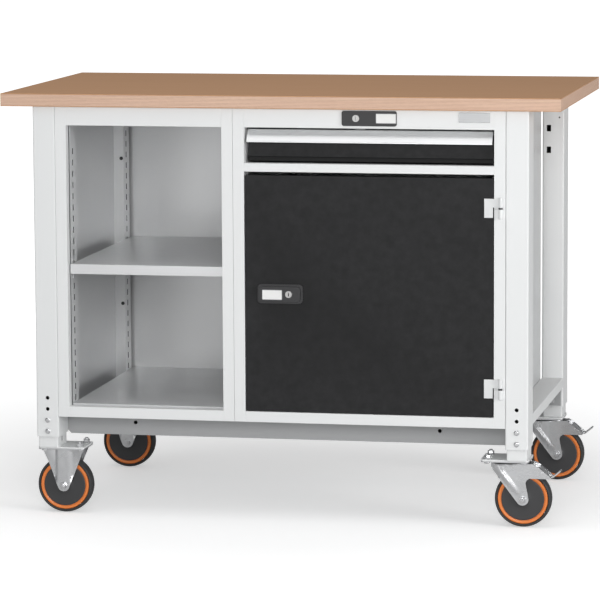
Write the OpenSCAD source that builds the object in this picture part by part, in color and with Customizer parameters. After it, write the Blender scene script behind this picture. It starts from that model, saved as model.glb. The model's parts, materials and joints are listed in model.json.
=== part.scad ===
// Mobile workbench: beech top on a steel frame with an open shelf unit,
// a drawer and door unit, two fixed casters and two braked swivel casters.
// X runs left to right, Y from front to back, Z up from the floor.

/* [Worktop] */
// Height of the worktop's upper face above the floor
bench_h = 940; // [780:1:1140]
// Width of the worktop
top_w = 1240; // [1120:1:1500]
// Depth of the worktop
top_d = 700; // [700:1:850]
// Thickness of the worktop
top_t = 28; // [20:1:50]
// How far the worktop stands in front of the frame
front_overhang = 10; // [10:1:60]

/* [Frame] */
// Width over the outer faces of the legs
frame_w = 1100; // [1000:1:1230]
// Depth from the front of the front legs to the back of the rear legs
frame_d = 682; // [660:1:690]
// Width of a leg
leg_w = 50; // [41:1:61]
// Depth of a leg
leg_d = 80; // [72:1:96]
// Wall of a leg
leg_wall = 2; // [1.5:0.5:3]
// Height of the lower side rails
side_rail_h = 24; // [20:1:40]
// Height of the lower beams
beam_h = 50; // [44:1:70]
// How far the lower beams reach below the legs' ends
beam_drop = 4; // [0:1:8]
// Depth of the lower beams
beam_d = 40; // [30:1:60]
// Sheet of the lower beams
beam_t = 2.5; // [2:0.5:4]
// Diameter of the holes in the front beam and the legs
hole_d = 8.5; // [7:0.5:10]

/* [Feet] */
// Number of height steps that are drilled in each leg
foot_holes = 4; // [3:1:6]
// Distance between two height steps
foot_pitch = 25; // [20:1:30]
// Wall of the inner foot tube
foot_wall = 2.5; // [2:0.5:3]
// Gap between the foot tube and the leg round it
foot_gap = 1; // [0.5:0.25:1.5]
// Thickness of the plate under a foot tube
foot_plate_t = 3; // [3:0.5:5]
// Length of foot tube that shows below the leg
foot_show = 24; // [20:1:28]

/* [Cabinets] */
// Width of the open shelf unit
shelf_unit_w = 400; // [330:1:490]
// Depth of both cabinets
cab_d = 580; // [540:1:600]
// Sheet of the cabinets
sheet = 1.5; // [1:0.25:2]
// Width of the uprights of a cabinet's front frame
stile_w = 25; // [22:1:35]
// Height of the front frame's top rail
top_rail_h = 41.5; // [38:0.5:50]
// Height of the front frame's bottom rail
bottom_rail_h = 23.5; // [20:0.5:30]
// Depth of the folded edges round the openings
fold_d = 22; // [20:1:24]

/* [Shelf] */
// Slot that carries the adjustable shelf, counted from the lowest
shelf_slot = 11; // [3:1:18]
// Height of the shelf's folded edges
shelf_lip = 22; // [15:1:30]
// Distance between two slots of a perforated upright
slot_pitch = 25; // [20:1:30]
// Height of a slot
slot_h = 13; // [10:1:14]
// Width of a slot
slot_w = 6; // [3:0.5:8]

/* [Drawer] */
// Height of the drawer opening
drawer_h = 78; // [68:1:120]
// Height of the rail between the drawer and the door
divider_h = 18.5; // [16:0.5:30]
// Length of the drawer box
drawer_l = 480; // [400:1:490]
// Gap at each end of the drawer front
drawer_gap = 5; // [3:0.5:8]
// Height of the handle profile
handle_h = 27.5; // [24:0.5:32]
// Height of the runners
runner_h = 44; // [38:1:46]

/* [Door] */
// Gap at the door's sides and bottom
door_gap = 2; // [1.5:0.25:3]
// Gap above the door
door_gap_top = 8; // [3:1:10]
// Thickness of the door
door_t = 18; // [15:1:19]
// Outer diameter of the hinge knuckles
knuckle_d = 9; // [8:0.5:9]
// Height of a hinge knuckle
knuckle_h = 46; // [40:1:60]
// Diameter of the hinge pins
hinge_pin_d = 5; // [4:0.5:5]

/* [Casters] */
// Diameter of the wheels
wheel_d = 125; // [100:1:160]
// Width of the wheels
wheel_w = 32; // [28:1:34]
// Distance from a wheel's top to the top of its caster's plate
caster_room = 24; // [22:1:30]
// Length of a caster's plate
plate_l = 105; // [100:1:110]
// Width of a caster's plate
plate_w = 85; // [80:1:90]
// Thickness of a caster's plate
plate_t = 3; // [2.5:0.5:4]
// Distance of the wheel's axle from the swivel's axis
trail = 36.5; // [30:0.5:40]
// Diameter of the axle's sleeve
axle_d = 12; // [10:0.5:14]

/* [Clearances] */
// Gap on the radius between a shaft and its bore
run_gap = 0.05; // [0.03:0.01:0.1]
// Gap between faces that pass each other
pass_gap = 0.3; // [0.25:0.05:0.5]

/* [Hidden] */
$fn = 48;

paint = [0.92, 0.92, 0.91];
anthracite = [0.2, 0.2, 0.21];
zinc = [0.78, 0.79, 0.8];
beech = [0.72, 0.56, 0.43];
light_sheet = [0.8, 0.81, 0.82];
plastic = [0.16, 0.16, 0.17];
orange = [0.95, 0.5, 0.2];

// Heights that follow from the wheels
wheel_r = wheel_d / 2;
caster_h = wheel_d + caster_room;
leg_bottom = caster_h + foot_plate_t + foot_show;
beam_z = leg_bottom - beam_drop;
cab_z = beam_z + beam_h;

// Frame
x_out = frame_w / 2;
x_in = x_out - leg_w;
y_front = front_overhang - top_d / 2;
y_rear = y_front + frame_d;
z_top = bench_h - top_t;
leg_r = 3;
cap_t = 3;
rail_wall = 2;
rail_r = 2;
rail_z = cab_z - 2;
angle_w = 33;
angle_h = 15;
angle_t = 3;
angle_gap = 1;
hook_slot_w = 10;
hook_slot_h = 15;
hook_slot_inset = 14.5;
hook_slot_drops = [86, 136];
pilot_r = 2;
pilot_inset = 11;
pilot_drop = 61;
beam_chamfer = 7;
beam_tab = 45;
beam_hole_x = 344;
beam_hole_z = cab_z - 22;
beam_lip = 8;
beam_bolt_rise = 20;
beam_bolt_pitch = 18;
bolt_d = 8;
bolt_head_d = 13;
bolt_head_h = 5;
nut_h = 6.5;
low_head_h = 4;
washer_d = 16;
washer_t = 1.5;
hole_fit = 0.25;
button_r = 6;
button_h = 2.8;
socket_r = 2.6;
wood_screw_d = 6;
wood_screw_head_d = 12;
wood_screw_head_h = 4;
screw_depth = 18;
screw_inset = 20;
screw_from_leg = 70;

// Feet: the holes are counted up from the lowest
foot_hole_z = leg_bottom + 12.5;
foot_tube_top = foot_hole_z + foot_pitch * 1.6;
foot_bottom = caster_h + foot_plate_t;
foot_screws_used = 2;
foot_inset = leg_wall + foot_gap;
foot_window = 12;
foot_window_rise = 8;
foot_r = 2.5;
foot_screw_reach = 4;
plate_r = 6;

// Cabinets
unit_gap = 0.25;
x_split = -x_in + shelf_unit_w;
left_unit = [-x_in + unit_gap, x_split - unit_gap];
right_unit = [x_split + unit_gap, x_in - unit_gap];
y_back = y_front + cab_d;
z_rail_top = z_top - top_rail_h;
z_rail_bottom = cab_z + bottom_rail_h;
open_left = [-x_in + stile_w, x_split - stile_w];
open_right = [x_split + stile_w, x_in - stile_w];
z_drawer = z_rail_top - drawer_h;
z_divider = z_drawer - divider_h;
floor_step = 4;
floor_gap = 1;
y_inside = y_front + fold_d + 2;

// Perforated uprights
upright_d = 50;
upright_front = y_front + fold_d + 6;
upright_rear = y_back - 70;
slot_first = 37;
slot_count = floor((z_top - cab_z - slot_first - 2 * top_rail_h) / slot_pitch);
slot_z0 = cab_z + slot_first;
slot_from_edge = 22;
clip_w = 20;
clip_l = 11;
clip_h = 12;
clip_t = 2;
hook_h = 9;
hook_gap = 0.5;
shelf_z = slot_z0 + shelf_slot * slot_pitch + clip_h / 2;
shelf_side_gap = 1;
shelf_set_back = 15;
shelf_back_gap = 8;

// Drawer
drawer_x0 = open_right[0] + drawer_gap;
drawer_x1 = open_right[1] - drawer_gap;
face_x0 = open_right[0] + sheet;
face_x1 = open_right[1] - sheet;
runner_t = 1.4;
runner_air = 2;
runner_w = 9.5;
runner_gap = 13;
runner_mid_h = runner_h - 2 * (runner_t + runner_air);
runner_in_h = runner_mid_h - 2 * (runner_t + runner_air);
runner_step = 4;
drawer_wall = 1.2;
y_drawer_face = y_front + 22;
drawer_front_t = 18;
y_drawer_box = y_drawer_face + drawer_front_t;
y_runner = y_drawer_box + 2;
drawer_rise = 6;
drawer_room = 16;
drawer_box_h = drawer_h - drawer_rise - drawer_room;
z_drawer_box = z_drawer + drawer_rise;
z_runner = z_drawer_box + drawer_box_h / 2;
z_handle_top = z_rail_top - 5;
z_handle = z_handle_top - handle_h;
handle_reach = 18;
front_gap = 3;
step_h = 10;
step_d = 3;

// Lock of the drawer unit
lock_x = open_right[0] + 248.5;
lock_z = z_top - 19.5;
lock_plate_x0 = lock_x - 31;
lock_plate_w = 121;
lock_plate_h = 33;
lock_plate_t = 2.5;
lock_r = 7.5;
lock_wall = 2.5;
lock_body_d = 22;
lock_tail_r = 4;
plug_proud = 0.5;
cam_w = 12;
cam_t = 2.5;
cam_l = lock_z - z_rail_top + 4;
cam_y = y_front + 44;
catch_y = cam_y + 6;
catch_t = 2;
catch_lap = 12;
keyslot_w = 1.6;
keyslot_l = 8;

// Door: its face stands a little proud so that the hinge leaves pass the stile
door_x0 = open_right[0] + door_gap;
door_x1 = open_right[1] - door_gap;
door_z0 = z_rail_bottom + door_gap;
door_z1 = z_divider - door_gap_top;
door_face = y_front - pass_gap;
hinge_x = x_in - 10;
hinge_y = y_front - knuckle_d / 2 - pass_gap;
hinge_zs = [door_z0 + 61.5, door_z1 - 64];
leaf_t = 2;
leaf_h = 41;
leaf_w = 19;
leaf_x0 = hinge_x - 36;
ring_h = 4;
ring_d = 9.2;
handle_x = door_x0 + 97.5;
handle_z = door_z0 + 259.5;
plate_x0 = handle_x - 70.5;
escutcheon_l = 101;
escutcheon_h = 43;
escutcheon_t = 3;
lever_l = 91;
lever_h = 33;
lever_t = 5;
hub_r = 10;
hub_end = y_front + 23;
hub_floor = 6;
arm_w = 18;
arm_t = 2.5;
arm_l = handle_x - open_right[0] + 11;

// Casters: the plates sit flush with the legs' outer faces
caster_x = x_out - plate_l / 2;
leg_mid = leg_d / 2;
wheel_inset = 10;
y_wheel_front = y_front + leg_mid + wheel_inset;
y_wheel_rear = y_rear - leg_mid - wheel_inset;
wheel_ys = [y_wheel_front, y_wheel_rear];
bolt_dx = 80;
bolt_dy = 60;
bolt_rise = 11;
plate_bottom = caster_h - plate_t;
fork_gap = wheel_w / 2 + 3;
fork_t = 3;
fork_tip_r = 13.5;
fork_top_w = 94;
rib_w = 35;
rib_t = 4;
tyre_t = 7;
core_r = wheel_r - tyre_t;
hub_l = fork_gap - pass_gap;
wheel_hub_r = 15;
core_step = 2.5;
shoulder = 3;
race_r = 31;
race_h = 4.7;
head_t = 3;
head_r = 33;
z_head = plate_bottom - race_h - pass_gap;
head_x = -trail;
kingpin_d = 12;
kingpin_head_d = 20;
kingpin_head_h = 5;
pedal_w = 26;
pedal_t = 2.5;
pedal_pivot = [wheel_r - 20.5, wheel_r - 4.5];
pedal_pin_d = 6;
swivel_x = caster_x;
axle_x = caster_x + trail;

function z_of_hole(i) = foot_hole_z + i * foot_pitch;
function beam_bolt_z(k) = beam_z + beam_bolt_rise + k * beam_bolt_pitch;
function worktop_screw_places() = [for (s = [-1, 1], k = [-1, 0, 1])
  [s * (x_in + screw_inset), (y_front + y_rear) / 2 + k * (frame_d / 2 - leg_d - screw_from_leg)]];
// Angle at which a line from p touches a circle of radius r at the origin
function touch_angle(p, r, side) = atan2(p[1], p[0]) - side * acos(r / norm(p));
function touch(p, r, side) = r * [cos(touch_angle(p, r, side)), sin(touch_angle(p, r, side))];

// Box between two opposite corners
module span(a, b) { translate(a) cube(b - a); }

// Rectangle with round corners, by its low corner and size
module round_rect(size, r) {
  translate([r, 0]) square([size[0] - 2 * r, size[1]]);
  translate([0, r]) square([size[0], size[1] - 2 * r]);
  for (x = [r, size[0] - r], y = [r, size[1] - r]) translate([x, y]) circle(r);
}

// Cylinder along Y from y0 to y1
module rod_y(x, z, r, y0, y1, fn = 48) {
  translate([x, y1, z]) rotate([90, 0, 0]) cylinder(r = r, h = y1 - y0, $fn = fn);
}

// Shape drawn in X and Z, from y0 to y1
module slab_y(y0, y1) { translate([0, y1, 0]) rotate([90, 0, 0]) linear_extrude(y1 - y0) children(); }

// Plate in X and Z with round corners
module round_plate(x0, z0, w, h, r, y0, y1) {
  slab_y(y0, y1) translate([x0, z0]) round_rect([w, h], r);
}

// Rectangular tube with round corners, from z0 to z1
module tube(x0, y0, w, d, wall, r, z0, z1) {
  translate([x0, y0, z0]) linear_extrude(z1 - z0) difference() {
    round_rect([w, d], r);
    translate([wall, wall]) square([w - 2 * wall, d - 2 * wall]);
  }
}

// Hexagon bolt along Y: its head stands in front of y_head, its shank runs to y_end
module bolt_y(x, z, y_head, y_end, dir) {
  head = y_head - dir * bolt_head_h;
  rod_y(x, z, bolt_d / 2, min(y_head, y_end), max(y_head, y_end));
  rod_y(x, z, bolt_head_d / 2, min(y_head, head), max(y_head, head), 6);
}

module worktop() {
  color(beech) difference() {
    span([-top_w / 2, -top_d / 2, z_top], [top_w / 2, top_d / 2, bench_h]);
    for (p = worktop_screw_places()) {
      translate([p[0], p[1], z_top - 1]) cylinder(d = wood_screw_d, h = screw_depth + 1);
    }
  }
}

// Leg for the side sx (-1 left, 1 right) and the face fy (-1 front, 1 rear)
module leg(sx, fy) {
  x0 = sx < 0 ? -x_out : x_in;
  y0 = fy < 0 ? y_front : y_rear - leg_d;
  y_face = fy < 0 ? y_front : y_rear;
  y_inner = fy < 0 ? y_front + leg_d : y_rear - leg_d;
  color(paint) difference() {
    union() {
      tube(x0, y0, leg_w, leg_d, leg_wall, leg_r, leg_bottom, z_top);
      span([x0 + leg_wall, y0 + leg_wall, z_top - cap_t],
           [x0 + leg_w - leg_wall, y0 + leg_d - leg_wall, z_top]);
    }
    for (i = [0:foot_holes - 1]) {
      rod_y(x0 + leg_w / 2, z_of_hole(i), hole_d / 2, y_face - 2 * leg_wall, y_face + 2 * leg_wall);
    }
    for (k = [0, 1]) {
      rod_y(x0 + leg_w / 2, beam_bolt_z(k), bolt_d / 2 + hole_fit,
            y_inner - 2 * leg_wall, y_inner + 2 * leg_wall);
    }
    // Slots for hooks, in the faces that look at each other
    for (drop = hook_slot_drops) {
      span([sx * (x_in + hook_slot_inset) - hook_slot_w / 2, y_inner - 2 * leg_wall,
            z_top - drop - hook_slot_h / 2],
           [sx * (x_in + hook_slot_inset) + hook_slot_w / 2, y_inner + 2 * leg_wall,
            z_top - drop + hook_slot_h / 2]);
    }
    rod_y(sx * (x_out - pilot_inset), z_top - pilot_drop, pilot_r,
          y_inner - 2 * leg_wall, y_inner + 2 * leg_wall);
  }
}

module lower_side_rails() {
  color(paint) for (x0 = [-x_out, x_in]) {
    slab_y(y_front + leg_d, y_rear - leg_d) translate([x0, rail_z]) difference() {
      round_rect([leg_w, side_rail_h], rail_r);
      translate([rail_wall, rail_wall]) square([leg_w - 2 * rail_wall, side_rail_h - 2 * rail_wall]);
    }
  }
}

module upper_side_rails() {
  y0 = y_front + leg_d;
  y1 = y_rear - leg_d;
  x0 = x_in + angle_gap;
  color(paint) for (s = [-1, 1]) difference() {
    union() {
      span([min(s * x0, s * (x0 + angle_w)), y0, z_top - angle_t],
           [max(s * x0, s * (x0 + angle_w)), y1, z_top]);
      span([min(s * x0, s * (x0 + angle_t)), y0, z_top - angle_h],
           [max(s * x0, s * (x0 + angle_t)), y1, z_top]);
    }
    for (p = worktop_screw_places()) {
      translate([p[0], p[1], z_top - 2 * angle_t])
        cylinder(d = wood_screw_d + 2 * hole_fit, h = 3 * angle_t);
    }
  }
}

// Beam behind the front legs; the rear one is its mirror image
module beam_profile() {
  polygon([
    [-x_in - beam_tab, cab_z], [-x_in - beam_tab, beam_z + beam_chamfer],
    [-x_in, beam_z + beam_chamfer], [-x_in + beam_chamfer, beam_z],
    [x_in - beam_chamfer, beam_z], [x_in, beam_z + beam_chamfer],
    [x_in + beam_tab, beam_z + beam_chamfer], [x_in + beam_tab, cab_z]
  ]);
}
module beam() {
  y0 = y_front + leg_d;
  difference() {
    union() {
      slab_y(y0, y0 + beam_t) beam_tabs();
      span([-x_in + 1, y0, cab_z - beam_t], [x_in - 1, y0 + beam_d, cab_z]);
      span([-x_in + 1, y0 + beam_d - beam_t, cab_z - beam_lip], [x_in - 1, y0 + beam_d, cab_z]);
      span([-x_in + beam_chamfer, y0, beam_z], [x_in - beam_chamfer, y0 + beam_d, beam_z + beam_t]);
      span([-x_in + beam_chamfer, y0 + beam_d - beam_t, beam_z],
           [x_in - beam_chamfer, y0 + beam_d, beam_z + beam_lip]);
    }
    for (s = [-1, 1]) {
      rod_y(s * beam_hole_x, beam_hole_z, hole_d / 2, y0 - beam_t, y0 + 2 * beam_t);
      for (k = [0, 1]) {
        rod_y(s * (x_in + leg_w / 2), beam_bolt_z(k), bolt_d / 2 + hole_fit,
              y0 - beam_t, y0 + 2 * beam_t);
      }
    }
  }
}
// The tabs reach behind the legs below the side rails
module beam_tabs() {
  difference() {
    beam_profile();
    for (s = [-1, 1]) translate([s * (x_in + beam_tab) - beam_tab, rail_z])
      square([2 * beam_tab, side_rail_h]);
  }
}
module front_beam() { color(paint) beam(); }
module rear_beam() { color(paint) translate([0, y_front + y_rear, 0]) mirror([0, 1, 0]) beam(); }

// Foot tube and its plate, at the corner sx, fy
module foot(sx, fy) {
  x0 = (sx < 0 ? -x_out : x_in) + foot_inset;
  y0 = (fy < 0 ? y_front : y_rear - leg_d) + foot_inset;
  y_face = fy < 0 ? y0 : y0 + leg_d - 2 * foot_inset;
  y_plate = (fy < 0 ? y_wheel_front : y_wheel_rear) - plate_w / 2;
  w = leg_w - 2 * foot_inset;
  x_side = sx < 0 ? x0 + w : x0;
  difference() {
    union() {
      tube(x0, y0, w, leg_d - 2 * foot_inset, foot_wall, foot_r, foot_bottom, foot_tube_top);
      difference() {
        translate([sx * caster_x - plate_l / 2, y_plate, caster_h]) linear_extrude(foot_plate_t)
          round_rect([plate_l, plate_w], plate_r);
        caster_holes(sx * caster_x, y_plate + plate_w / 2);
      }
    }
    for (i = [0:foot_screws_used - 1]) {
      rod_y(x0 + w / 2, z_of_hole(i), bolt_d / 2, y_face - 2 * foot_wall, y_face + 2 * foot_wall);
    }
    translate([x_side - 2 * foot_wall, y0 + leg_d / 2 - foot_inset - foot_window / 2,
               foot_bottom + foot_window_rise])
      cube([4 * foot_wall, foot_window, foot_window]);
  }
}
module adjustable_feet() { color(paint) for (sx = [-1, 1], fy = [-1, 1]) foot(sx, fy); }

// Button-headed screws that hold the feet at their height
module foot_screws() {
  color(zinc) for (sx = [-1, 1], fy = [-1, 1], i = [0:foot_screws_used - 1]) {
    y_face = fy < 0 ? y_front : y_rear;
    x = sx * (x_in + leg_w / 2);
    y_end = y_face - fy * (foot_inset + foot_wall + foot_screw_reach);
    y_button = y_face + fy * button_h;
    difference() {
      union() {
        rod_y(x, z_of_hole(i), bolt_d / 2, min(y_face, y_end), max(y_face, y_end));
        rod_y(x, z_of_hole(i), button_r, min(y_face, y_button), max(y_face, y_button));
      }
      rod_y(x, z_of_hole(i), socket_r, min(y_face + fy, y_button + fy),
            max(y_face + fy, y_button + fy), 6);
    }
  }
}

// Bolts between beams and legs, and the screws under the worktop
module frame_bolts() {
  color(zinc) {
    for (s = [-1, 1], k = [0, 1]) {
      x = s * (x_in + leg_w / 2);
      bolt_y(x, beam_bolt_z(k), y_front + leg_d + beam_t, y_front + leg_d - leg_wall, -1);
      bolt_y(x, beam_bolt_z(k), y_rear - leg_d - beam_t, y_rear - leg_d + leg_wall, 1);
    }
    for (p = worktop_screw_places()) translate([p[0], p[1], z_top - angle_t]) {
      cylinder(d = wood_screw_d, h = angle_t + screw_depth);
      translate([0, 0, -wood_screw_head_h])
        cylinder(d = wood_screw_head_d, h = wood_screw_head_h, $fn = 6);
    }
  }
}

module caster_holes(x, y) {
  for (dx = [-1, 1], dy = [-1, 1]) {
    translate([x + dx * bolt_dx / 2, y + dy * bolt_dy / 2, caster_h - 3 * plate_t])
      cylinder(d = bolt_d + 2 * hole_fit, h = 6 * plate_t);
  }
}

// Each caster hangs from two bolts with nuts beside the foot tube, and two
// short screws that end flush in the foot plate under the tube
module caster_bolts() {
  color(zinc) for (sx = [-1, 1], y = wheel_ys, dy = [-1, 1]) {
    inner = sx * (caster_x - bolt_dx / 2);
    outer = sx * (caster_x + bolt_dx / 2);
    translate([inner, y + dy * bolt_dy / 2, plate_bottom - low_head_h]) {
      cylinder(d = bolt_head_d, h = low_head_h, $fn = 6);
      cylinder(d = bolt_d, h = low_head_h + plate_t + foot_plate_t + bolt_rise);
      translate([0, 0, low_head_h + plate_t + foot_plate_t]) {
        cylinder(d = washer_d, h = washer_t);
        cylinder(d = bolt_head_d, h = washer_t + nut_h, $fn = 6);
      }
    }
    translate([outer, y + dy * bolt_dy / 2, plate_bottom - low_head_h]) {
      cylinder(d = bolt_head_d, h = low_head_h, $fn = 6);
      cylinder(d = bolt_d, h = low_head_h + plate_t + foot_plate_t);
    }
  }
}

// Cabinet shell without back and front: two sides, top and bottom
module carcass(unit) {
  difference() {
    span([unit[0], y_front + sheet, cab_z], [unit[1], y_back - sheet, z_top]);
    span([unit[0] + sheet, y_front, cab_z + sheet], [unit[1] - sheet, y_back, z_top - sheet]);
  }
}
module back_panel(unit) { span([unit[0], y_back - sheet, cab_z], [unit[1], y_back, z_top]); }

// Front frame: a sheet with openings, each with its edges folded inwards
module front_frame(unit, opening_x, openings_z) {
  difference() {
    union() {
      span([unit[0], y_front, cab_z], [unit[1], y_front + sheet, z_top]);
      for (z = openings_z) {
        span([opening_x[0] - sheet, y_front, z[0] - sheet],
             [opening_x[1] + sheet, y_front + fold_d, z[1] + sheet]);
      }
    }
    for (z = openings_z) {
      span([opening_x[0], y_front - 1, z[0]], [opening_x[1], y_front + fold_d + 1, z[1]]);
    }
    children();
  }
}

module floor_tray(opening_x) {
  z1 = z_rail_bottom + floor_step;
  x0 = opening_x[0] + sheet + pass_gap;
  x1 = opening_x[1] - sheet - pass_gap;
  difference() {
    span([x0, y_inside, cab_z + sheet], [x1, y_back - sheet - floor_gap, z1]);
    span([x0 + sheet, y_inside + sheet, cab_z],
         [x1 - sheet, y_back - 2 * sheet - floor_gap, z1 - sheet]);
  }
}

// Perforated upright: a slotted face at x_face and a flange to the side wall
module upright(x_face, x_wall, dir, y0, flange_y) {
  z0 = cab_z + sheet;
  z1 = z_top - sheet;
  difference() {
    union() {
      span([min(x_face, x_face - dir * sheet), y0, z0],
           [max(x_face, x_face - dir * sheet), y0 + upright_d, z1]);
      span([min(x_face, x_wall), flange_y, z0], [max(x_face, x_wall), flange_y + sheet, z1]);
    }
    for (i = [0:slot_count]) {
      translate([x_face - 2 * sheet, y0 + slot_from_edge - slot_w / 2,
                 slot_z0 + i * slot_pitch - slot_h / 2]) cube([4 * sheet, slot_w, slot_h]);
    }
  }
}
module uprights(unit, opening_x) {
  for (y0 = [upright_front, upright_rear]) {
    flange_y = y0 == upright_front ? y0 + upright_d - sheet : y0;
    upright(opening_x[0] + sheet, unit[0] + sheet, 1, y0, flange_y);
    upright(opening_x[1] - sheet, unit[1] - sheet, -1, y0, flange_y);
  }
}

module shelf_unit_body() { color(light_sheet) carcass(left_unit); }
module shelf_unit_back() { color(light_sheet) back_panel(left_unit); }
module shelf_unit_front() {
  color(paint) front_frame(left_unit, open_left, [[z_rail_bottom, z_rail_top]]);
}
module shelf_unit_floor() { color(light_sheet) floor_tray(open_left); }
module shelf_unit_uprights() { color(light_sheet) uprights(left_unit, open_left); }

// Shelf folded down on its four sides
module adjustable_shelf() {
  x0 = open_left[0] + sheet + shelf_side_gap;
  x1 = open_left[1] - sheet - shelf_side_gap;
  y0 = y_front + shelf_set_back;
  y1 = y_back - sheet - shelf_back_gap;
  color(light_sheet) difference() {
    span([x0, y0, shelf_z], [x1, y1, shelf_z + shelf_lip]);
    span([x0 + sheet, y0 + sheet, shelf_z - 1],
         [x1 - sheet, y1 - sheet, shelf_z + shelf_lip - sheet]);
  }
}

// Clips hooked into the slots under the shelf's side edges
module shelf_clips() {
  color(zinc) for (y0 = [upright_front, upright_rear], dir = [1, -1]) {
    x_face = dir > 0 ? open_left[0] + sheet : open_left[1] - sheet;
    y = y0 + slot_from_edge;
    x_hook = x_face - dir * 2.5 * sheet;
    z_hook = shelf_z - clip_h / 2;
    span([min(x_face, x_face + dir * clip_l), y - clip_w / 2, shelf_z - clip_t],
         [max(x_face, x_face + dir * clip_l), y + clip_w / 2, shelf_z]);
    span([min(x_face, x_face + dir * clip_t), y - clip_w / 2, shelf_z - clip_h],
         [max(x_face, x_face + dir * clip_t), y + clip_w / 2, shelf_z]);
    span([min(x_face, x_hook), y - slot_w / 2 + hook_gap, z_hook - hook_h / 2],
         [max(x_face, x_hook), y + slot_w / 2 - hook_gap, z_hook + hook_h / 2]);
  }
}

module drawer_unit_body() { color(light_sheet) carcass(right_unit); }
module drawer_unit_back() { color(light_sheet) back_panel(right_unit); }
module drawer_unit_front() {
  color(paint) front_frame(right_unit, open_right, [[z_rail_bottom, z_divider], [z_drawer, z_rail_top]])
    rod_y(lock_x, lock_z, lock_r + lock_wall, y_front - 1, y_front + 2 * sheet);
}
module drawer_unit_floor() { color(light_sheet) floor_tray(open_right); }
module drawer_unit_divider() {
  z = z_divider + sheet + (divider_h - 3 * sheet) / 2;
  color(light_sheet) span([face_x0, y_front + sheet, z], [face_x1, y_back - sheet, z + sheet]);
}
module drawer_unit_uprights() { color(light_sheet) uprights(right_unit, open_right); }

// Lock plate with the housing of its cylinder
module lock_plate() {
  color(plastic) difference() {
    union() {
      round_plate(lock_plate_x0, lock_z - lock_plate_h / 2, lock_plate_w, lock_plate_h, 5,
                  y_front - lock_plate_t, y_front);
      rod_y(lock_x, lock_z, lock_r + lock_wall, y_front - 1, y_front + lock_body_d);
    }
    rod_y(lock_x, lock_z, lock_r + run_gap,
          y_front - 2 * lock_plate_t, y_front + lock_body_d + 1);
  }
}
module key_slot(x, z, y) {
  span([x - keyslot_w / 2, y - 1, z - keyslot_l / 2], [x + keyslot_w / 2, y + 5, z + keyslot_l / 2]);
}
module lock_plug() {
  y0 = y_front - lock_plate_t - plug_proud;
  color(zinc) difference() {
    union() {
      rod_y(lock_x, lock_z, lock_r, y0, y_front + lock_body_d + plug_proud);
      rod_y(lock_x, lock_z, lock_tail_r, y_front + lock_body_d, cam_y);
    }
    key_slot(lock_x, lock_z, y0);
  }
}
// The cam lies flat when open and turns down in front of the drawer's catch
module lock_cam() {
  color(zinc) slab_y(cam_y, cam_y + cam_t) {
    translate([lock_x, lock_z]) circle(cam_w / 2);
    translate([lock_x, lock_z - cam_w / 2]) square([cam_l, cam_w]);
  }
}

// Runner member: a channel whose web lies at x_web and opens along dir
module channel(x_web, dir, h, w, y0, y1) {
  x0 = x_web + dir * runner_t;
  x1 = x_web + dir * (w + 1);
  difference() {
    span([min(x_web, x_web + dir * w), y0, z_runner - h / 2],
         [max(x_web, x_web + dir * w), y1, z_runner + h / 2]);
    span([min(x0, x1), y0 - 1, z_runner - h / 2 + runner_t],
         [max(x0, x1), y1 + 1, z_runner + h / 2 - runner_t]);
  }
}
module runner_outer() {
  color(zinc) for (dir = [1, -1]) {
    x_web = dir > 0 ? face_x0 : face_x1;
    channel(x_web, dir, runner_h, runner_w, y_runner, y_runner + drawer_l);
  }
}
module runner_middle() {
  color(zinc) for (dir = [1, -1]) {
    x_web = (dir > 0 ? face_x0 : face_x1) + dir * (runner_t + 1);
    channel(x_web, dir, runner_mid_h, runner_w, y_runner, y_runner + drawer_l - runner_step);
  }
}
module runner_inner() {
  color(zinc) for (dir = [1, -1]) {
    x_web = (dir > 0 ? face_x0 : face_x1) + dir * runner_gap;
    channel(x_web, -dir, runner_in_h, runner_w - 1, y_runner, y_runner + drawer_l - 2 * runner_step);
  }
}

// Drawer box of folded sheet, open at the top, with the lock's catch
module drawer_box() {
  x0 = face_x0 + runner_gap;
  x1 = face_x1 - runner_gap;
  y1 = y_drawer_box + drawer_l;
  z1 = z_drawer_box + drawer_box_h;
  color(light_sheet) {
    difference() {
      span([x0, y_drawer_box, z_drawer_box], [x1, y1, z1]);
      span([x0 + drawer_wall, y_drawer_box + drawer_wall, z_drawer_box + drawer_wall],
           [x1 - drawer_wall, y1 - drawer_wall, z1 + 1]);
    }
    span([lock_x - cam_w, y_drawer_box, z1 - catch_lap], [lock_x + cam_w, y_drawer_box + catch_t, z1]);
    span([lock_x - cam_w, y_drawer_box, z1 - catch_t], [lock_x + cam_w, catch_y + catch_t, z1]);
    span([lock_x - cam_w, catch_y, z1 - catch_t], [lock_x + cam_w, catch_y + catch_t, z_rail_top - 1]);
  }
}
// Drawer front, stepped back along its lower edge
module drawer_front() {
  z0 = z_drawer + front_gap;
  color(anthracite) {
    span([drawer_x0, y_drawer_face, z0 + step_h], [drawer_x1, y_drawer_box, z_handle_top - front_gap]);
    span([drawer_x0, y_drawer_face + step_d, z0], [drawer_x1, y_drawer_box, z0 + step_h]);
  }
}
// Handle profile: it slopes forward and down, with a lip for the fingers
module drawer_handle() {
  top_y = y_drawer_face;
  lip_y = top_y - handle_reach;
  color(zinc) translate([drawer_x0, 0, 0]) rotate([90, 0, 90])
    linear_extrude(drawer_x1 - drawer_x0) polygon([
      [top_y, z_handle_top - 8], [top_y, z_handle_top], [top_y - 2, z_handle_top],
      [lip_y, z_handle + 3], [lip_y, z_handle], [lip_y + 5, z_handle], [lip_y + 5, z_handle + 2],
      [lip_y + 3, z_handle + 3], [top_y - 3, z_handle_top - 5]
    ]);
}

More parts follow.
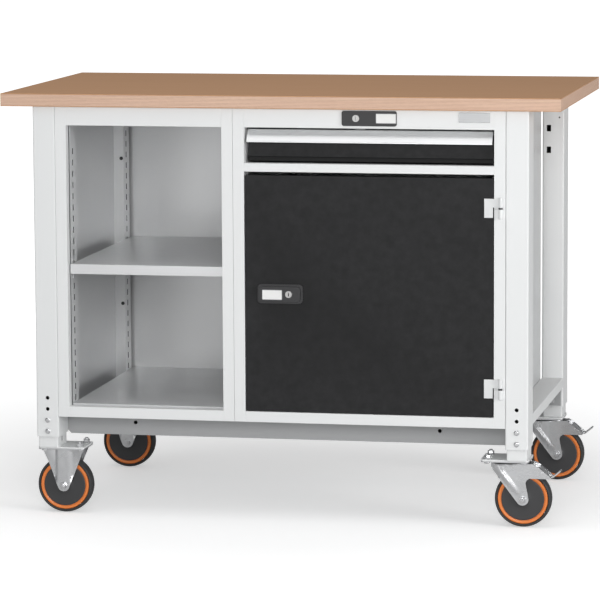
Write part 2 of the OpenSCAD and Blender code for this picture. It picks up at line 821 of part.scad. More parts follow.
// Hinges: the frame leaf carries the lower knuckle and the pin
module hinge_frame_leaves() {
  color(light_sheet) for (z = hinge_zs) {
    translate([hinge_x, hinge_y, z - knuckle_h / 2]) {
      cylinder(d = knuckle_d, h = knuckle_h / 2 - ring_h / 2);
      cylinder(d = hinge_pin_d, h = knuckle_h - 1);
    }
    translate([hinge_x, hinge_y, z - ring_h / 2]) cylinder(d = ring_d, h = ring_h - pass_gap);
    span([open_right[1] + 1, y_front - leaf_t, z - leaf_h / 2],
         [hinge_x + 7, y_front, z - ring_h / 2]);
  }
}
module door_hinge_leaves() {
  color(light_sheet) for (z = hinge_zs) difference() {
    union() {
      translate([hinge_x, hinge_y, z + ring_h / 2])
        cylinder(d = knuckle_d, h = knuckle_h / 2 - ring_h / 2);
      span([leaf_x0, door_face - leaf_t, z - leaf_h / 2],
           [leaf_x0 + leaf_w, door_face, z + leaf_h / 2]);
      span([leaf_x0, door_face - leaf_t, z + ring_h / 2], [hinge_x - 1, door_face, z + leaf_h / 2]);
    }
    translate([hinge_x, hinge_y, z]) cylinder(d = hinge_pin_d + 2 * run_gap, h = knuckle_h);
  }
}

// Door: an outer tray and an inner panel that closes it
module door_panel() {
  color(anthracite) difference() {
    span([door_x0, door_face, door_z0], [door_x1, door_face + door_t - sheet, door_z1]);
    span([door_x0 + sheet, door_face + sheet, door_z0 + sheet],
         [door_x1 - sheet, door_face + door_t, door_z1 - sheet]);
    rod_y(handle_x, handle_z, hub_r + run_gap, door_face - 1, door_face + 2 * sheet);
  }
}
module door_inner_panel() {
  color(anthracite) difference() {
    span([door_x0, door_face + door_t - sheet, door_z0], [door_x1, door_face + door_t, door_z1]);
    rod_y(handle_x, handle_z, hub_r + run_gap,
          door_face + door_t - 2 * sheet, door_face + door_t + 1);
  }
}
module door_handle_plate() {
  color(plastic) difference() {
    round_plate(plate_x0, handle_z - escutcheon_h / 2, escutcheon_l, escutcheon_h, 9,
                door_face - escutcheon_t, door_face);
    rod_y(handle_x, handle_z, hub_r + run_gap, door_face - 2 * escutcheon_t, door_face + 1);
  }
}
// Turning lever with its hub; the lock cylinder sits in the hub
module door_handle() {
  y0 = door_face - escutcheon_t - pass_gap - lever_t;
  color(plastic) difference() {
    union() {
      round_plate(plate_x0 + 5, handle_z - lever_h / 2, lever_l, lever_h, 7, y0, y0 + lever_t);
      rod_y(handle_x, handle_z, hub_r, y0 + 1, hub_end);
    }
    rod_y(handle_x, handle_z, lock_r + run_gap, y0 - 1, hub_end - hub_floor);
  }
}
module door_latch_arm() {
  color(zinc) slab_y(hub_end, hub_end + arm_t) {
    translate([handle_x, handle_z]) circle(arm_w / 2 + 3);
    translate([handle_x - arm_w / 2, handle_z - arm_l]) square([arm_w, arm_l]);
  }
}
module door_lock_plug() {
  y0 = door_face - escutcheon_t - pass_gap - lever_t - plug_proud;
  color(zinc) difference() {
    rod_y(handle_x, handle_z, lock_r, y0, hub_end - hub_floor - pass_gap);
    key_slot(handle_x, handle_z, y0);
  }
}

// Plate of a caster with its four bolt holes
module caster_plate(x, y) {
  difference() {
    translate([x - plate_l / 2, y - plate_w / 2, plate_bottom]) linear_extrude(plate_t)
      round_rect([plate_l, plate_w], plate_r);
    caster_holes(x, y);
  }
}
// Side of a fixed fork: a V down to the axle, w wide at the top
module fork_v(w) {
  p = [w / 2, plate_bottom - wheel_r];
  t = touch(p, fork_tip_r, 1);
  polygon([[-p[0], p[1]], p, t, [0, 0], [-t[0], t[1]]]);
  circle(fork_tip_r);
}
module fixed_forks() {
  color(zinc) for (y = wheel_ys) {
    caster_plate(-caster_x, y);
    for (s = [-1, 1]) difference() {
      translate([-caster_x, y, wheel_r]) {
        side_slab(s, fork_gap, fork_t) fork_v(fork_top_w);
        side_slab(s, fork_gap, fork_t + rib_t) intersection() {
          fork_v(fork_top_w);
          translate([-rib_w / 2, -wheel_r]) square([rib_w, plate_bottom]);
        }
      }
      rod_y(-caster_x, wheel_r, bolt_d / 2 + hole_fit, y - 2 * fork_gap, y + 2 * fork_gap);
    }
  }
}
// Shape in X and Z, from start to start + t beyond the middle, on side s
module side_slab(s, start, t) {
  y0 = s > 0 ? start : -start - t;
  slab_y(y0, y0 + t) children();
}
// Axle bolt with its sleeve, head and nut; side is where the fork ends
module axle(x, y, side) {
  translate([0, y, 0]) {
    rod_y(x, wheel_r, axle_d / 2, -fork_gap, fork_gap);
    rod_y(x, wheel_r, bolt_d / 2, -side - nut_h - 1.5, side + bolt_head_h);
    rod_y(x, wheel_r, bolt_head_d / 2, side, side + bolt_head_h, 6);
    rod_y(x, wheel_r, bolt_head_d / 2, -side - nut_h, -side, 6);
    rod_y(x, wheel_r, washer_d / 2, -side - washer_t, -side);
  }
}
module fixed_axles() { color(zinc) for (y = wheel_ys) axle(-caster_x, y, fork_gap + fork_t + rib_t); }

// Plates, races and kingpins of the swivel casters
module swivel_plates() {
  color(zinc) for (y = wheel_ys) {
    caster_plate(swivel_x, y);
    translate([swivel_x, y, plate_bottom - race_h]) cylinder(r = race_r, h = race_h);
    translate([swivel_x, y, z_head - head_t - pass_gap]) {
      cylinder(d = kingpin_d, h = head_t + 2 * pass_gap);
      translate([0, 0, -kingpin_head_h]) cylinder(d = kingpin_head_d, h = kingpin_head_h);
    }
  }
}
// Side of a swivel fork, in X and Z from its axle: tip, back edge, brake arm
module swivel_side() {
  top = z_head - wheel_r;
  heel = [head_x - head_r + 4, top - 15];
  heel_touch = touch(heel, fork_tip_r, -1);
  arm_bottom = wheel_r - 16;
  polygon([
    [heel[0] - 4, top], [heel[0] - 4, top - 4], heel, heel_touch, [0, 0],
    [fork_tip_r, 0], [7, arm_bottom - 10.5], [9, arm_bottom - 4.5], [15, arm_bottom],
    [pedal_pivot[0] + 18, arm_bottom], [pedal_pivot[0] + 20, arm_bottom + 3],
    [pedal_pivot[0] - 8, top - 6], [pedal_pivot[0] - 18, top]
  ]);
  circle(fork_tip_r);
}
module swivel_fork(y) {
  hinge_r = pedal_pin_d / 2 + run_gap;
  color(zinc) difference() {
    translate([axle_x, y, wheel_r]) {
      for (s = [-1, 1]) side_slab(s, fork_gap, fork_t) swivel_side();
      translate([head_x, 0, z_head - head_t - wheel_r]) linear_extrude(head_t) {
        circle(head_r);
        translate([-head_r + 6, -fork_gap - fork_t]) square([head_r + 22, 2 * (fork_gap + fork_t)]);
      }
      translate([head_x - head_r, -fork_gap - fork_t, z_head - wheel_r - 9])
        cube([4, 2 * (fork_gap + fork_t), 9]);
    }
    translate([swivel_x, y, z_head - 2 * head_t]) cylinder(d = kingpin_d + 2 * run_gap, h = 3 * head_t);
    rod_y(axle_x, wheel_r, bolt_d / 2 + hole_fit, y - 2 * fork_gap, y + 2 * fork_gap);
    rod_y(axle_x + pedal_pivot[0], wheel_r + pedal_pivot[1], hinge_r, y - 2 * fork_gap, y + 2 * fork_gap);
  }
}
module swivel_fork_front() { swivel_fork(y_wheel_front); }
module swivel_fork_rear() { swivel_fork(y_wheel_rear); }
module swivel_axle_front() { color(zinc) axle(axle_x, y_wheel_front, fork_gap + fork_t); }
module swivel_axle_rear() { color(zinc) axle(axle_x, y_wheel_rear, fork_gap + fork_t); }

// Brake pedal: a bent plate on a pin through the fork's arms, with an upturned tip
module brake_pedal(y) {
  p = pedal_pivot;
  color(zinc) translate([axle_x, y, wheel_r]) {
    slab_y(-pedal_w / 2, pedal_w / 2) polygon([
      [p[0] - 24, p[1] + 10], [p[0] - 4, p[1] + 8], [p[0] + 14, p[1] - 10], [p[0] + 24, p[1] - 10],
      [p[0] + 41, p[1] + 4], [p[0] + 39, p[1] + 6], [p[0] + 23, p[1] - 7], [p[0] + 15, p[1] - 7],
      [p[0] - 3, p[1] + 11], [p[0] - 24, p[1] + 13]
    ]);
    for (s = [-1, 1]) side_slab(s, pedal_w / 2 - pedal_t, pedal_t) polygon([
      [p[0] - 8, p[1] + 9], [p[0] - 5, p[1] - 5], [p[0] + 5, p[1] - 5],
      [p[0] + 14, p[1] - 9], [p[0] - 3, p[1] + 9]
    ]);
    rod_y(p[0], p[1], pedal_pin_d / 2, -fork_gap - fork_t - 1, fork_gap + fork_t + 1);
  }
}
module brake_pedal_front() { brake_pedal(y_wheel_front); }
module brake_pedal_rear() { brake_pedal(y_wheel_rear); }

// Tyre with rounded shoulders on a core that turns on the axle's sleeve
module tyre(x, y) {
  half = wheel_w / 2;
  color(plastic) translate([x, y, wheel_r]) rotate([90, 0, 0]) rotate_extrude($fn = 96) {
    translate([core_r, -half]) square([wheel_r - shoulder - core_r, wheel_w]);
    translate([core_r, -half + shoulder]) square([wheel_r - core_r, wheel_w - 2 * shoulder]);
    for (s = [-1, 1]) translate([wheel_r - shoulder, s * (half - shoulder)]) circle(shoulder);
  }
}
module wheel_core(x, y) {
  bore = axle_d / 2 + run_gap;
  color(orange) translate([x, y, wheel_r]) rotate([90, 0, 0]) rotate_extrude($fn = 96) {
    translate([bore, -hub_l]) square([wheel_hub_r - bore, 2 * hub_l]);
    translate([bore, -wheel_w / 2 + core_step]) square([core_r - bore, wheel_w - 2 * core_step]);
  }
}
module tyre_front_left() { tyre(-caster_x, y_wheel_front); }
module tyre_rear_left() { tyre(-caster_x, y_wheel_rear); }
module tyre_front_right() { tyre(axle_x, y_wheel_front); }
module tyre_rear_right() { tyre(axle_x, y_wheel_rear); }
module wheel_core_front_left() { wheel_core(-caster_x, y_wheel_front); }
module wheel_core_rear_left() { wheel_core(-caster_x, y_wheel_rear); }
module wheel_core_front_right() { wheel_core(axle_x, y_wheel_front); }
module wheel_core_rear_right() { wheel_core(axle_x, y_wheel_rear); }

worktop();
leg(-1, -1);  // leg_front_left
leg(1, -1);  // leg_front_right
leg(-1, 1);  // leg_rear_left
leg(1, 1);  // leg_rear_right
lower_side_rails();
upper_side_rails();
front_beam();
rear_beam();
adjustable_feet();
foot_screws();
frame_bolts();
caster_bolts();
shelf_unit_body();
shelf_unit_back();
shelf_unit_front();
shelf_unit_floor();
shelf_unit_uprights();
adjustable_shelf();
shelf_clips();
drawer_unit_body();
drawer_unit_back();
drawer_unit_front();
drawer_unit_floor();
drawer_unit_divider();
drawer_unit_uprights();
lock_plate();
lock_plug();
lock_cam();
runner_outer();
runner_middle();
runner_inner();
drawer_box();
drawer_front();
drawer_handle();
hinge_frame_leaves();
door_panel();
door_inner_panel();
door_hinge_leaves();
door_handle_plate();
door_handle();
door_latch_arm();
door_lock_plug();
fixed_forks();
fixed_axles();
swivel_plates();
swivel_fork_front();
swivel_fork_rear();
swivel_axle_front();
swivel_axle_rear();
brake_pedal_front();
brake_pedal_rear();
tyre_front_left();
wheel_core_front_left();
tyre_rear_left();
wheel_core_rear_left();
tyre_front_right();
wheel_core_front_right();
tyre_rear_right();
wheel_core_rear_right();
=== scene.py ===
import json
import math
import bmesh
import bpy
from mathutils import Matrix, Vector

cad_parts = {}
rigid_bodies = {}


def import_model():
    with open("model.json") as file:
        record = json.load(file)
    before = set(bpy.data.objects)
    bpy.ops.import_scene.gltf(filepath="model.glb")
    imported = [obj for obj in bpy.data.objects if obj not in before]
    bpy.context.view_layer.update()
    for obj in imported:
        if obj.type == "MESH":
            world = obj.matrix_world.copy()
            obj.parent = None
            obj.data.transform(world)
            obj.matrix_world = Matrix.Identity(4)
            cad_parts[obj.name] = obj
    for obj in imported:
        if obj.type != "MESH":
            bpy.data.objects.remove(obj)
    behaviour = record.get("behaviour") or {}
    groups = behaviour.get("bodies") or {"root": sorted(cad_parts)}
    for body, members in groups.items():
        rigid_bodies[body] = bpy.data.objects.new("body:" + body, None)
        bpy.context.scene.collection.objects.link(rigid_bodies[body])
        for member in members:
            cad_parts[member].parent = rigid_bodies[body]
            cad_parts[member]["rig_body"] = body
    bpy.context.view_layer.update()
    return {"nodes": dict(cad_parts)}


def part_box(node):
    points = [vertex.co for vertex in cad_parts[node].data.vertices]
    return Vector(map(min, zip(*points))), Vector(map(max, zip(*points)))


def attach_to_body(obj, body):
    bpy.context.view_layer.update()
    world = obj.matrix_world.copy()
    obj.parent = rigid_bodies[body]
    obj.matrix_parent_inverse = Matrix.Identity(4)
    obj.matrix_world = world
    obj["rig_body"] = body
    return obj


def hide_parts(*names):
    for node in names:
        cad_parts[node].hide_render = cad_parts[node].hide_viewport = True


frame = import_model()

# %% [markdown]
# # Finishing a mobile workbench
# The steel frame, the two cabinets, the drawer, the door and the casters come from the CAD model,
# where every size is settled. This file gives them their real surfaces: powder coat, zinc plating,
# layered beech and rubber, with the small details that a CAD solid leaves out. All lengths here are
# in metres, X runs to the right, Y to the back and Z up from the floor.

# %% [markdown]
# ## Places taken from the CAD
# Little here is placed by eye. A wheel turns round the middle of its tyre, a swivel round the middle
# of its plate, and the frame's four legs stand evenly about one line, so these points are measured
# once and the pieces are set on them.

# %% Places
def middle(node):
    low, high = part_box(node)
    return (low + high) / 2

fixed_axle, swivel_axle = middle("tyre_front_left"), middle("tyre_front_right")
wheel_r, wheel_rows = fixed_axle.z, (fixed_axle.y, middle("tyre_rear_left").y)
swivel_x = middle("swivel_plates").x
front_leg, rear_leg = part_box("leg_front_right"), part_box("leg_rear_right")
leg_at, half_leg = middle("leg_front_right"), (front_leg[1] - front_leg[0]) / 2
middle_y = (leg_at.y + middle("leg_rear_right").y) / 2
print("wheel radius", round(wheel_r, 4), "wheel rows", [round(y, 3) for y in wheel_rows])
# %% [markdown]
# ## The camera
# A long lens far away keeps the uprights nearly parallel, as in a catalogue. The turn, tilt and roll
# are kept as three angles, and the camera's axes are worked out from them, so that each can be
# changed alone.

# %% Camera
def camera_axes(turn, tilt, roll):
    forward = Vector((-math.sin(turn) * math.cos(tilt), math.cos(turn) * math.cos(tilt), math.sin(tilt)))
    right = Vector((math.cos(turn), math.sin(turn), 0))
    up = right.cross(forward)
    side = right * math.cos(roll) + up * math.sin(roll)
    top = up * math.cos(roll) - right * math.sin(roll)
    return Matrix((side, top, -forward)).transposed()

turn, tilt, roll = math.radians(11.437), math.radians(-7.456), math.radians(-0.307)
stand = Matrix.Translation((1.5784, -7.9032, 1.5043))
camera = bpy.data.objects.new("camera", bpy.data.cameras.new("camera"))
bpy.context.scene.collection.objects.link(camera)
camera.matrix_world = stand @ camera_axes(turn, tilt, roll).to_4x4()
camera.data.sensor_width = 36
camera.data.lens = 214.11
camera.data.clip_end = 200
bpy.context.scene.camera = camera
print("camera lens", round(camera.data.lens), "mm")

# %% [markdown]
# ## Light and floor
# White goods are shown in a bright tent: pale light from all round, one large soft lamp in front,
# one from the right that reaches into the open shelves, a low one that fills the bays, and one
# above and in front whose reflection brightens the sloping handle. The tent looks whiter to the
# camera than the light it gives, because a white that filled the shadows would flatten the bench.
# The light path node tells the two apart. The standard view keeps the whites of the paint white.

# %% Lights and floor
def area_light(name, place, target, size, power):
    lamp = bpy.data.lights.new(name, "AREA")
    lamp.shape, lamp.size, lamp.energy = "SQUARE", size, power
    holder = bpy.data.objects.new(name, lamp)
    holder.location = place
    holder.rotation_euler = (Vector(target) - Vector(place)).to_track_quat("-Z", "Y").to_euler()
    bpy.context.scene.collection.objects.link(holder)

area_light("front_lamp", (1.0, -5.8, 1.85), (-0.1, 0, 0.5), 1.7, 112)
area_light("right_lamp", (4.6, -2.0, 1.4), (0.2, 0, 0.5), 2.0, 100)
area_light("top_lamp", (-0.4, -1.2, 4.2), (0, 0, 0.5), 3.0, 45)
area_light("low_fill", (-1.0, -5.0, 0.35), (-0.3, 0, 0.55), 1.6, 14)

light_given, white_seen = 0.25, 1.0
world = bpy.data.worlds.new("tent")
bpy.context.scene.world = world
world.use_nodes = True
tent = world.node_tree
tent.nodes["Background"].inputs["Color"].default_value = (0.97, 0.985, 1, 1)
level = tent.nodes.new("ShaderNodeMapRange")
level.inputs["To Min"].default_value, level.inputs["To Max"].default_value = light_given, white_seen
tent.links.new(tent.nodes.new("ShaderNodeLightPath").outputs["Is Camera Ray"], level.inputs["Value"])
tent.links.new(level.outputs[0], tent.nodes["Background"].inputs["Strength"])
bpy.context.scene.view_settings.view_transform = "Standard"
print("lamps:", [lamp.name for lamp in bpy.data.lights])

# %% [markdown]
# ## Small helpers for node trees
# Every tree below is built with a few helpers. `put` adds a node and fills its sockets with numbers
# or links, and `new_tree` makes a node group with named inputs and outputs. Patterns are laid out by
# Object coordinates, which stay with a piece when it moves. The Mix node has its colour sockets
# behind the ones for numbers, so they are reached by their place in the list.

# %% Node tree helpers
def put(tree, kind, inputs=None, **settings):
    made = tree.nodes.new(kind)
    for key, value in settings.items():
        setattr(made, key, value)
    for key, value in (inputs or {}).items():
        if isinstance(value, bpy.types.NodeSocket):
            tree.links.new(value, made.inputs[key])
        else:
            made.inputs[key].default_value = value
    return made

def new_tree(name, kind, inputs, outputs):
    tree = bpy.data.node_groups.new(name, kind)
    for label, socket, value in inputs:
        made = tree.interface.new_socket(label, in_out="INPUT", socket_type=socket)
        if value is not None:
            made.default_value = value
    for label, socket in outputs:
        tree.interface.new_socket(label, in_out="OUTPUT", socket_type=socket)
    return tree, tree.nodes.new("NodeGroupInput"), tree.nodes.new("NodeGroupOutput")

def maths(tree, operation, a, b=0.0, c=0.0):
    return put(tree, "ShaderNodeMath", {0: a, 1: b, 2: c}, operation=operation).outputs[0]

def on_object(tree, scale=None):
    place = put(tree, "ShaderNodeTexCoord").outputs["Object"]
    return put(tree, "ShaderNodeMapping", {"Vector": place, "Scale": scale}).outputs[0] if scale else place

mix_first, mix_second, mix_result = 6, 7, 2

def mix_colours(tree, factor, first, second):
    sockets = {"Factor": factor, mix_first: first, mix_second: second}
    return put(tree, "ShaderNodeMix", sockets, data_type="RGBA").outputs[mix_result]

print("node tree helpers ready")

# %% [markdown]
# ## Effects that several finishes share
# Fine grain is the texture you feel with a fingertip: the orange peel of powder coat, the grain of
# moulded plastic, or, when it is stretched, the lines of brushed metal. Uneven tone is the slow
# change of shade over a whole sheet. Handling marks are the faint smears and dust that gather on
# faces that look up. Each is one group, so that every material gives it values of its own.

# %% Shared shader groups
grain, gin, gout = new_tree("fine grain", "ShaderNodeTree",
    [("Grain size", "NodeSocketFloat", 0.001), ("Stretch", "NodeSocketVector", (1, 1, 1))],
    [("Height", "NodeSocketFloat")])
fine = put(grain, "ShaderNodeTexNoise", {"Vector": on_object(grain, gin.outputs["Stretch"]),
    "Scale": maths(grain, "DIVIDE", 1.0, gin.outputs["Grain size"]), "Detail": 2.5, "Roughness": 0.55})
grain.links.new(fine.outputs["Fac"], gout.inputs["Height"])

tone, tin, tout = new_tree("uneven tone", "ShaderNodeTree",
    [("Colour", "NodeSocketColor", (0.5, 0.5, 0.5, 1)), ("Amount", "NodeSocketFloat", 0.05),
     ("Patch size", "NodeSocketFloat", 0.2), ("Stretch", "NodeSocketVector", (1, 1, 1))],
    [("Colour", "NodeSocketColor")])
cloud = put(tone, "ShaderNodeTexNoise", {"Vector": on_object(tone, tin.outputs["Stretch"]),
    "Scale": maths(tone, "DIVIDE", 1.0, tin.outputs["Patch size"]), "Detail": 4.0})
swing = maths(tone, "MULTIPLY", maths(tone, "SUBTRACT", cloud.outputs["Fac"], 0.5), tin.outputs["Amount"])
level = maths(tone, "MULTIPLY_ADD", swing, 2.0, 1.0)
shade = put(tone, "ShaderNodeVectorMath", {0: tin.outputs["Colour"], "Scale": level}, operation="SCALE")
tone.links.new(shade.outputs[0], tout.inputs["Colour"])
print("grain and tone made")

# %% [markdown]
# Marks and wear come next. Dust needs to know which way a face looks, which the geometry node's
# Normal tells. Rubbed edges need to know where a corner is, which Pointiness tells, and a broken
# noise keeps the wear from running along an edge as an even line.

# %% Groups for marks and worn edges
marks, hin, hout = new_tree("handling marks", "ShaderNodeTree",
    [("Roughness", "NodeSocketFloat", 0.4), ("Smears", "NodeSocketFloat", 0.1),
     ("Dust", "NodeSocketFloat", 0.1), ("Colour", "NodeSocketColor", (0.5, 0.5, 0.5, 1))],
    [("Roughness", "NodeSocketFloat"), ("Colour", "NodeSocketColor")])
place = on_object(marks)
smear = put(marks, "ShaderNodeTexNoise", {"Vector": place, "Scale": 9.0, "Detail": 5.0, "Distortion": 1.2})
speck = put(marks, "ShaderNodeTexNoise", {"Vector": place, "Scale": 350.0, "Detail": 2.0})
facing = put(marks, "ShaderNodeSeparateXYZ", {0: put(marks, "ShaderNodeNewGeometry").outputs["Normal"]})
upward = put(marks, "ShaderNodeMapRange", {"Value": facing.outputs["Z"], "From Min": 0.5, "From Max": 1.0})
specks = maths(marks, "MULTIPLY", upward.outputs[0], speck.outputs["Fac"])
settled = maths(marks, "MULTIPLY", specks, hin.outputs["Dust"])
uneven_wipe = maths(marks, "SUBTRACT", smear.outputs["Fac"], 0.5)
rough = maths(marks, "MULTIPLY_ADD", uneven_wipe, hin.outputs["Smears"], hin.outputs["Roughness"])
dust_colour = (0.6, 0.58, 0.55, 1)
marks.links.new(maths(marks, "ADD", rough, settled), hout.inputs["Roughness"])
marks.links.new(mix_colours(marks, settled, hin.outputs["Colour"], dust_colour), hout.inputs["Colour"])

rub, rin, rout = new_tree("rubbed edges", "ShaderNodeTree",
    [("Colour", "NodeSocketColor", (0.5, 0.5, 0.5, 1)),
     ("Bare colour", "NodeSocketColor", (0.7, 0.7, 0.7, 1)), ("Amount", "NodeSocketFloat", 0.3)],
    [("Colour", "NodeSocketColor")])
corner_found = put(rub, "ShaderNodeNewGeometry").outputs["Pointiness"]
sharp = put(rub, "ShaderNodeMapRange", {"Value": corner_found, "From Min": 0.53, "From Max": 0.62})
broken = put(rub, "ShaderNodeTexNoise", {"Vector": on_object(rub), "Scale": 60.0, "Detail": 3.0})
broken_edge = maths(rub, "MULTIPLY", sharp.outputs[0], broken.outputs["Fac"])
worn = maths(rub, "MULTIPLY", broken_edge, rin.outputs["Amount"])
painted_or_bare = mix_colours(rub, worn, rin.outputs["Colour"], rin.outputs["Bare colour"])
rub.links.new(painted_or_bare, rout.inputs["Colour"])
print("shared groups:", [g.name for g in (grain, tone, marks, rub)])

# %% [markdown]
# ## The finishes
# One function puts the shared groups together round a Principled shader: tone, then rubbed edges,
# then marks, with the grain as bump. A finish is then a handful of values: how light, how glossy,
# how coarse its grain and how it is stretched.

# %% Finish builder
def group(tree, which, **values):
    made = tree.nodes.new("ShaderNodeGroup")
    made.node_tree = which
    for label, value in values.items():
        socket = made.inputs[label.replace("_", " ")]
        if isinstance(value, bpy.types.NodeSocket):
            tree.links.new(value, socket)
        else:
            socket.default_value = value
    return made

def new_material(name, colour):
    made = bpy.data.materials.new(name)
    made.use_nodes = True
    made.diffuse_color = (*colour, 1)
    return made, made.node_tree, made.node_tree.nodes["Principled BSDF"]

def wire(tree, shader, marked, texture, bump, depth):
    relief = put(tree, "ShaderNodeBump", {"Height": texture.outputs["Height"], "Strength": bump,
                                          "Distance": depth})
    tree.links.new(marked.outputs["Colour"], shader.inputs["Base Color"])
    tree.links.new(marked.outputs["Roughness"], shader.inputs["Roughness"])
    tree.links.new(relief.outputs["Normal"], shader.inputs["Normal"])

def finish(name, colour, roughness, metallic=0.0, grain_size=0.001, stretch=(1, 1, 1), bump=0.1,
           depth=0.0001, uneven=0.04, patch=0.25, smears=0.08, dust=0.06, bare=None, rubbed=0.0,
           coat=0.0, specular=0.5):
    made, tree, shader = new_material(name, colour)
    tinted = group(tree, tone, Colour=(*colour, 1), Amount=uneven, Patch_size=patch, Stretch=stretch)
    under = (*(bare or colour), 1)
    edged = group(tree, rub, Colour=tinted.outputs["Colour"], Bare_colour=under, Amount=rubbed)
    marked = group(tree, marks, Colour=edged.outputs["Colour"], Roughness=roughness, Smears=smears, Dust=dust)
    wire(tree, shader, marked, group(tree, grain, Grain_size=grain_size, Stretch=stretch), bump, depth)
    shader.inputs["Metallic"].default_value = metallic
    shader.inputs["Coat Weight"].default_value = coat
    shader.inputs["Specular IOR Level"].default_value = specular
    return made

print("finish builder ready")

# %% [markdown]
# Powder coat is sprayed as dust and melted, which leaves a faint orange peel about a millimetre
# across. The frame is pale grey, the drawer and door are anthracite with a finer, matter texture,
# and the inside sheets are thinner and satin, with a grey a little darker than the frame's as
# painted shade for the deep bays. The beams, set back under the cabinets, take a darker copy of the
# frame's grey: painted shade.

# %% Painted finishes
pale_coat = finish("pale grey powder coat", (0.80, 0.81, 0.81), 0.42, grain_size=0.0011, bump=0.25,
                   depth=0.00006, uneven=0.012, smears=0.06, bare=(0.9, 0.9, 0.9), rubbed=0.25)
# Satin inner sheet: its grey, darker than the frame's, is partly painted shade inside the bays.
inner_coat_with_painted_shade = finish("satin inner sheet darkened as painted shade", (0.68, 0.685, 0.69), 0.33, metallic=0.5, grain_size=0.0014,
                    bump=0.18, depth=0.00006, uneven=0.03, patch=0.3, smears=0.1, dust=0.05)
dark_coat = finish("anthracite powder coat", (0.0115, 0.0115, 0.012), 0.55, grain_size=0.0007, bump=0.5,
                   depth=0.0001, uneven=0.05, smears=0.08, dust=0.02, bare=(0.09, 0.09, 0.095), rubbed=0.5,
                   specular=0.2)
# Darker copy of the pale frame coat for the beams: painted shade under the cabinets.
shaded_beam_coat = finish("beam coat darkened as painted shade", (0.38, 0.385, 0.39), 0.42, grain_size=0.0011, bump=0.25,
                   depth=0.00006, uneven=0.012, smears=0.06, bare=(0.7, 0.7, 0.7), rubbed=0.25)
hinge_coat = finish("pale hinge coat", (0.77, 0.78, 0.78), 0.33, grain_size=0.0009, bump=0.2,
                    depth=0.00005, uneven=0.015, bare=(0.55, 0.55, 0.56), rubbed=0.35)
print("painted finishes made")

# %% [markdown]
# Zinc plating is bright but cloudy, with a slight change of shade from place to place. The drawer's
# handle is a drawn profile, so its grain runs along its length, and a grain stretched 200 times
# gives those lines.

# %% Metal finishes
zinc = finish("bright zinc plate", (0.66, 0.665, 0.675), 0.27, metallic=1.0, grain_size=0.0016, bump=0.22,
              depth=0.00005, uneven=0.10, patch=0.02, smears=0.18, dust=0.05, bare=(0.85, 0.85, 0.86),
              rubbed=0.4)
profile_metal = finish("drawn handle profile", (0.86, 0.865, 0.87), 0.40, metallic=1.0, grain_size=0.0006,
                       stretch=(0.005, 1, 1), bump=0.12, depth=0.00004, uneven=0.04, patch=0.01,
                       smears=0.05, dust=0.0)
plate_metal = finish("brushed badge plate", (0.41, 0.415, 0.42), 0.35, metallic=0.9, grain_size=0.0003,
                     stretch=(0.02, 1, 1), bump=0.15, depth=0.00004, uneven=0.12, patch=0.004, dust=0.0)
# Near-black finish for the inside of tubes, slot edges and keyways: painted shade.
painted_shade_black = finish("near-black painted shade inside", (0.030, 0.029, 0.028), 0.7, grain_size=0.002, bump=0.3, depth=0.0001,
                   uneven=0.3, patch=0.03, specular=0.2)
nickel = finish("nickel lock cylinder", (0.46, 0.455, 0.45), 0.34, metallic=1.0, grain_size=0.0006, bump=0.15,
                depth=0.00004, uneven=0.06, patch=0.006, dust=0.0, bare=(0.7, 0.69, 0.68), rubbed=0.4)
print("metal finishes made")

# %% [markdown]
# Moulded plastic has a spark-eroded grain, rubber is matter and a little paler where it rolls, and
# the orange rings are glossy. The paper inserts of the label holders are plain and blank.

# %% Plastic, rubber and paper finishes
black_plastic = finish("grained black plastic", (0.022, 0.022, 0.024), 0.38, grain_size=0.0005, bump=0.35,
                       depth=0.00006, uneven=0.06, bare=(0.06, 0.06, 0.06), rubbed=0.4)
cover_plastic = finish("dark grey wheel cover", (0.040, 0.040, 0.042), 0.5, grain_size=0.0006, bump=0.3,
                       depth=0.00006, uneven=0.08, patch=0.05, bare=(0.1, 0.1, 0.1), rubbed=0.5)
tyre_rubber = finish("tyre rubber", (0.030, 0.030, 0.031), 0.62, grain_size=0.0004, bump=0.4, depth=0.00008,
                     uneven=0.2, patch=0.02, smears=0.15, dust=0.1, bare=(0.09, 0.09, 0.09), rubbed=0.4)
orange_plastic = finish("orange moulded ring", (0.86, 0.235, 0.048), 0.34, grain_size=0.0006, bump=0.12,
                        depth=0.00004, uneven=0.04, patch=0.03, coat=0.15, dust=0.02)
paper = finish("blank label paper", (0.84, 0.84, 0.83), 0.6, grain_size=0.0003, bump=0.2, depth=0.00003,
               uneven=0.015, dust=0.0)
clear_frame = finish("label frame", (0.62, 0.62, 0.63), 0.25, grain_size=0.0005, bump=0.1, depth=0.00003,
                     uneven=0.02, dust=0.0)
print("moulded finishes made")

# %% [markdown]
# ## The board's own finish
# The top is beech multiplex. Its face sheet is a smooth brown film with a very quiet grain along
# the length, and its edge shows the veneers: sheets with the grain lengthwise look pale and
# streaky, and the ones across show darker end grain. Each kind of veneer is one material.

# %% Wood finishes
def veneer(name, light, dark, streak, roughness, contrast, specular=0.5):
    made, tree, shader = new_material(name, light)
    wave = put(tree, "ShaderNodeTexNoise", {"Vector": on_object(tree, streak), "Scale": 1.0, "Detail": 6.0,
                                            "Roughness": 0.6, "Distortion": 0.3})
    ramp = put(tree, "ShaderNodeMapRange", {"Value": wave.outputs["Fac"], "From Min": 0.5 - contrast,
                                            "From Max": 0.5 + contrast})
    blend = mix_colours(tree, ramp.outputs[0], (*dark, 1), (*light, 1))
    marked = group(tree, marks, Colour=blend, Roughness=roughness, Smears=0.08, Dust=0.03)
    wire(tree, shader, marked, group(tree, grain, Grain_size=0.0008, Stretch=(0.08, 1, 1)), 0.15, 0.00008)
    shader.inputs["Specular IOR Level"].default_value = specular
    return made

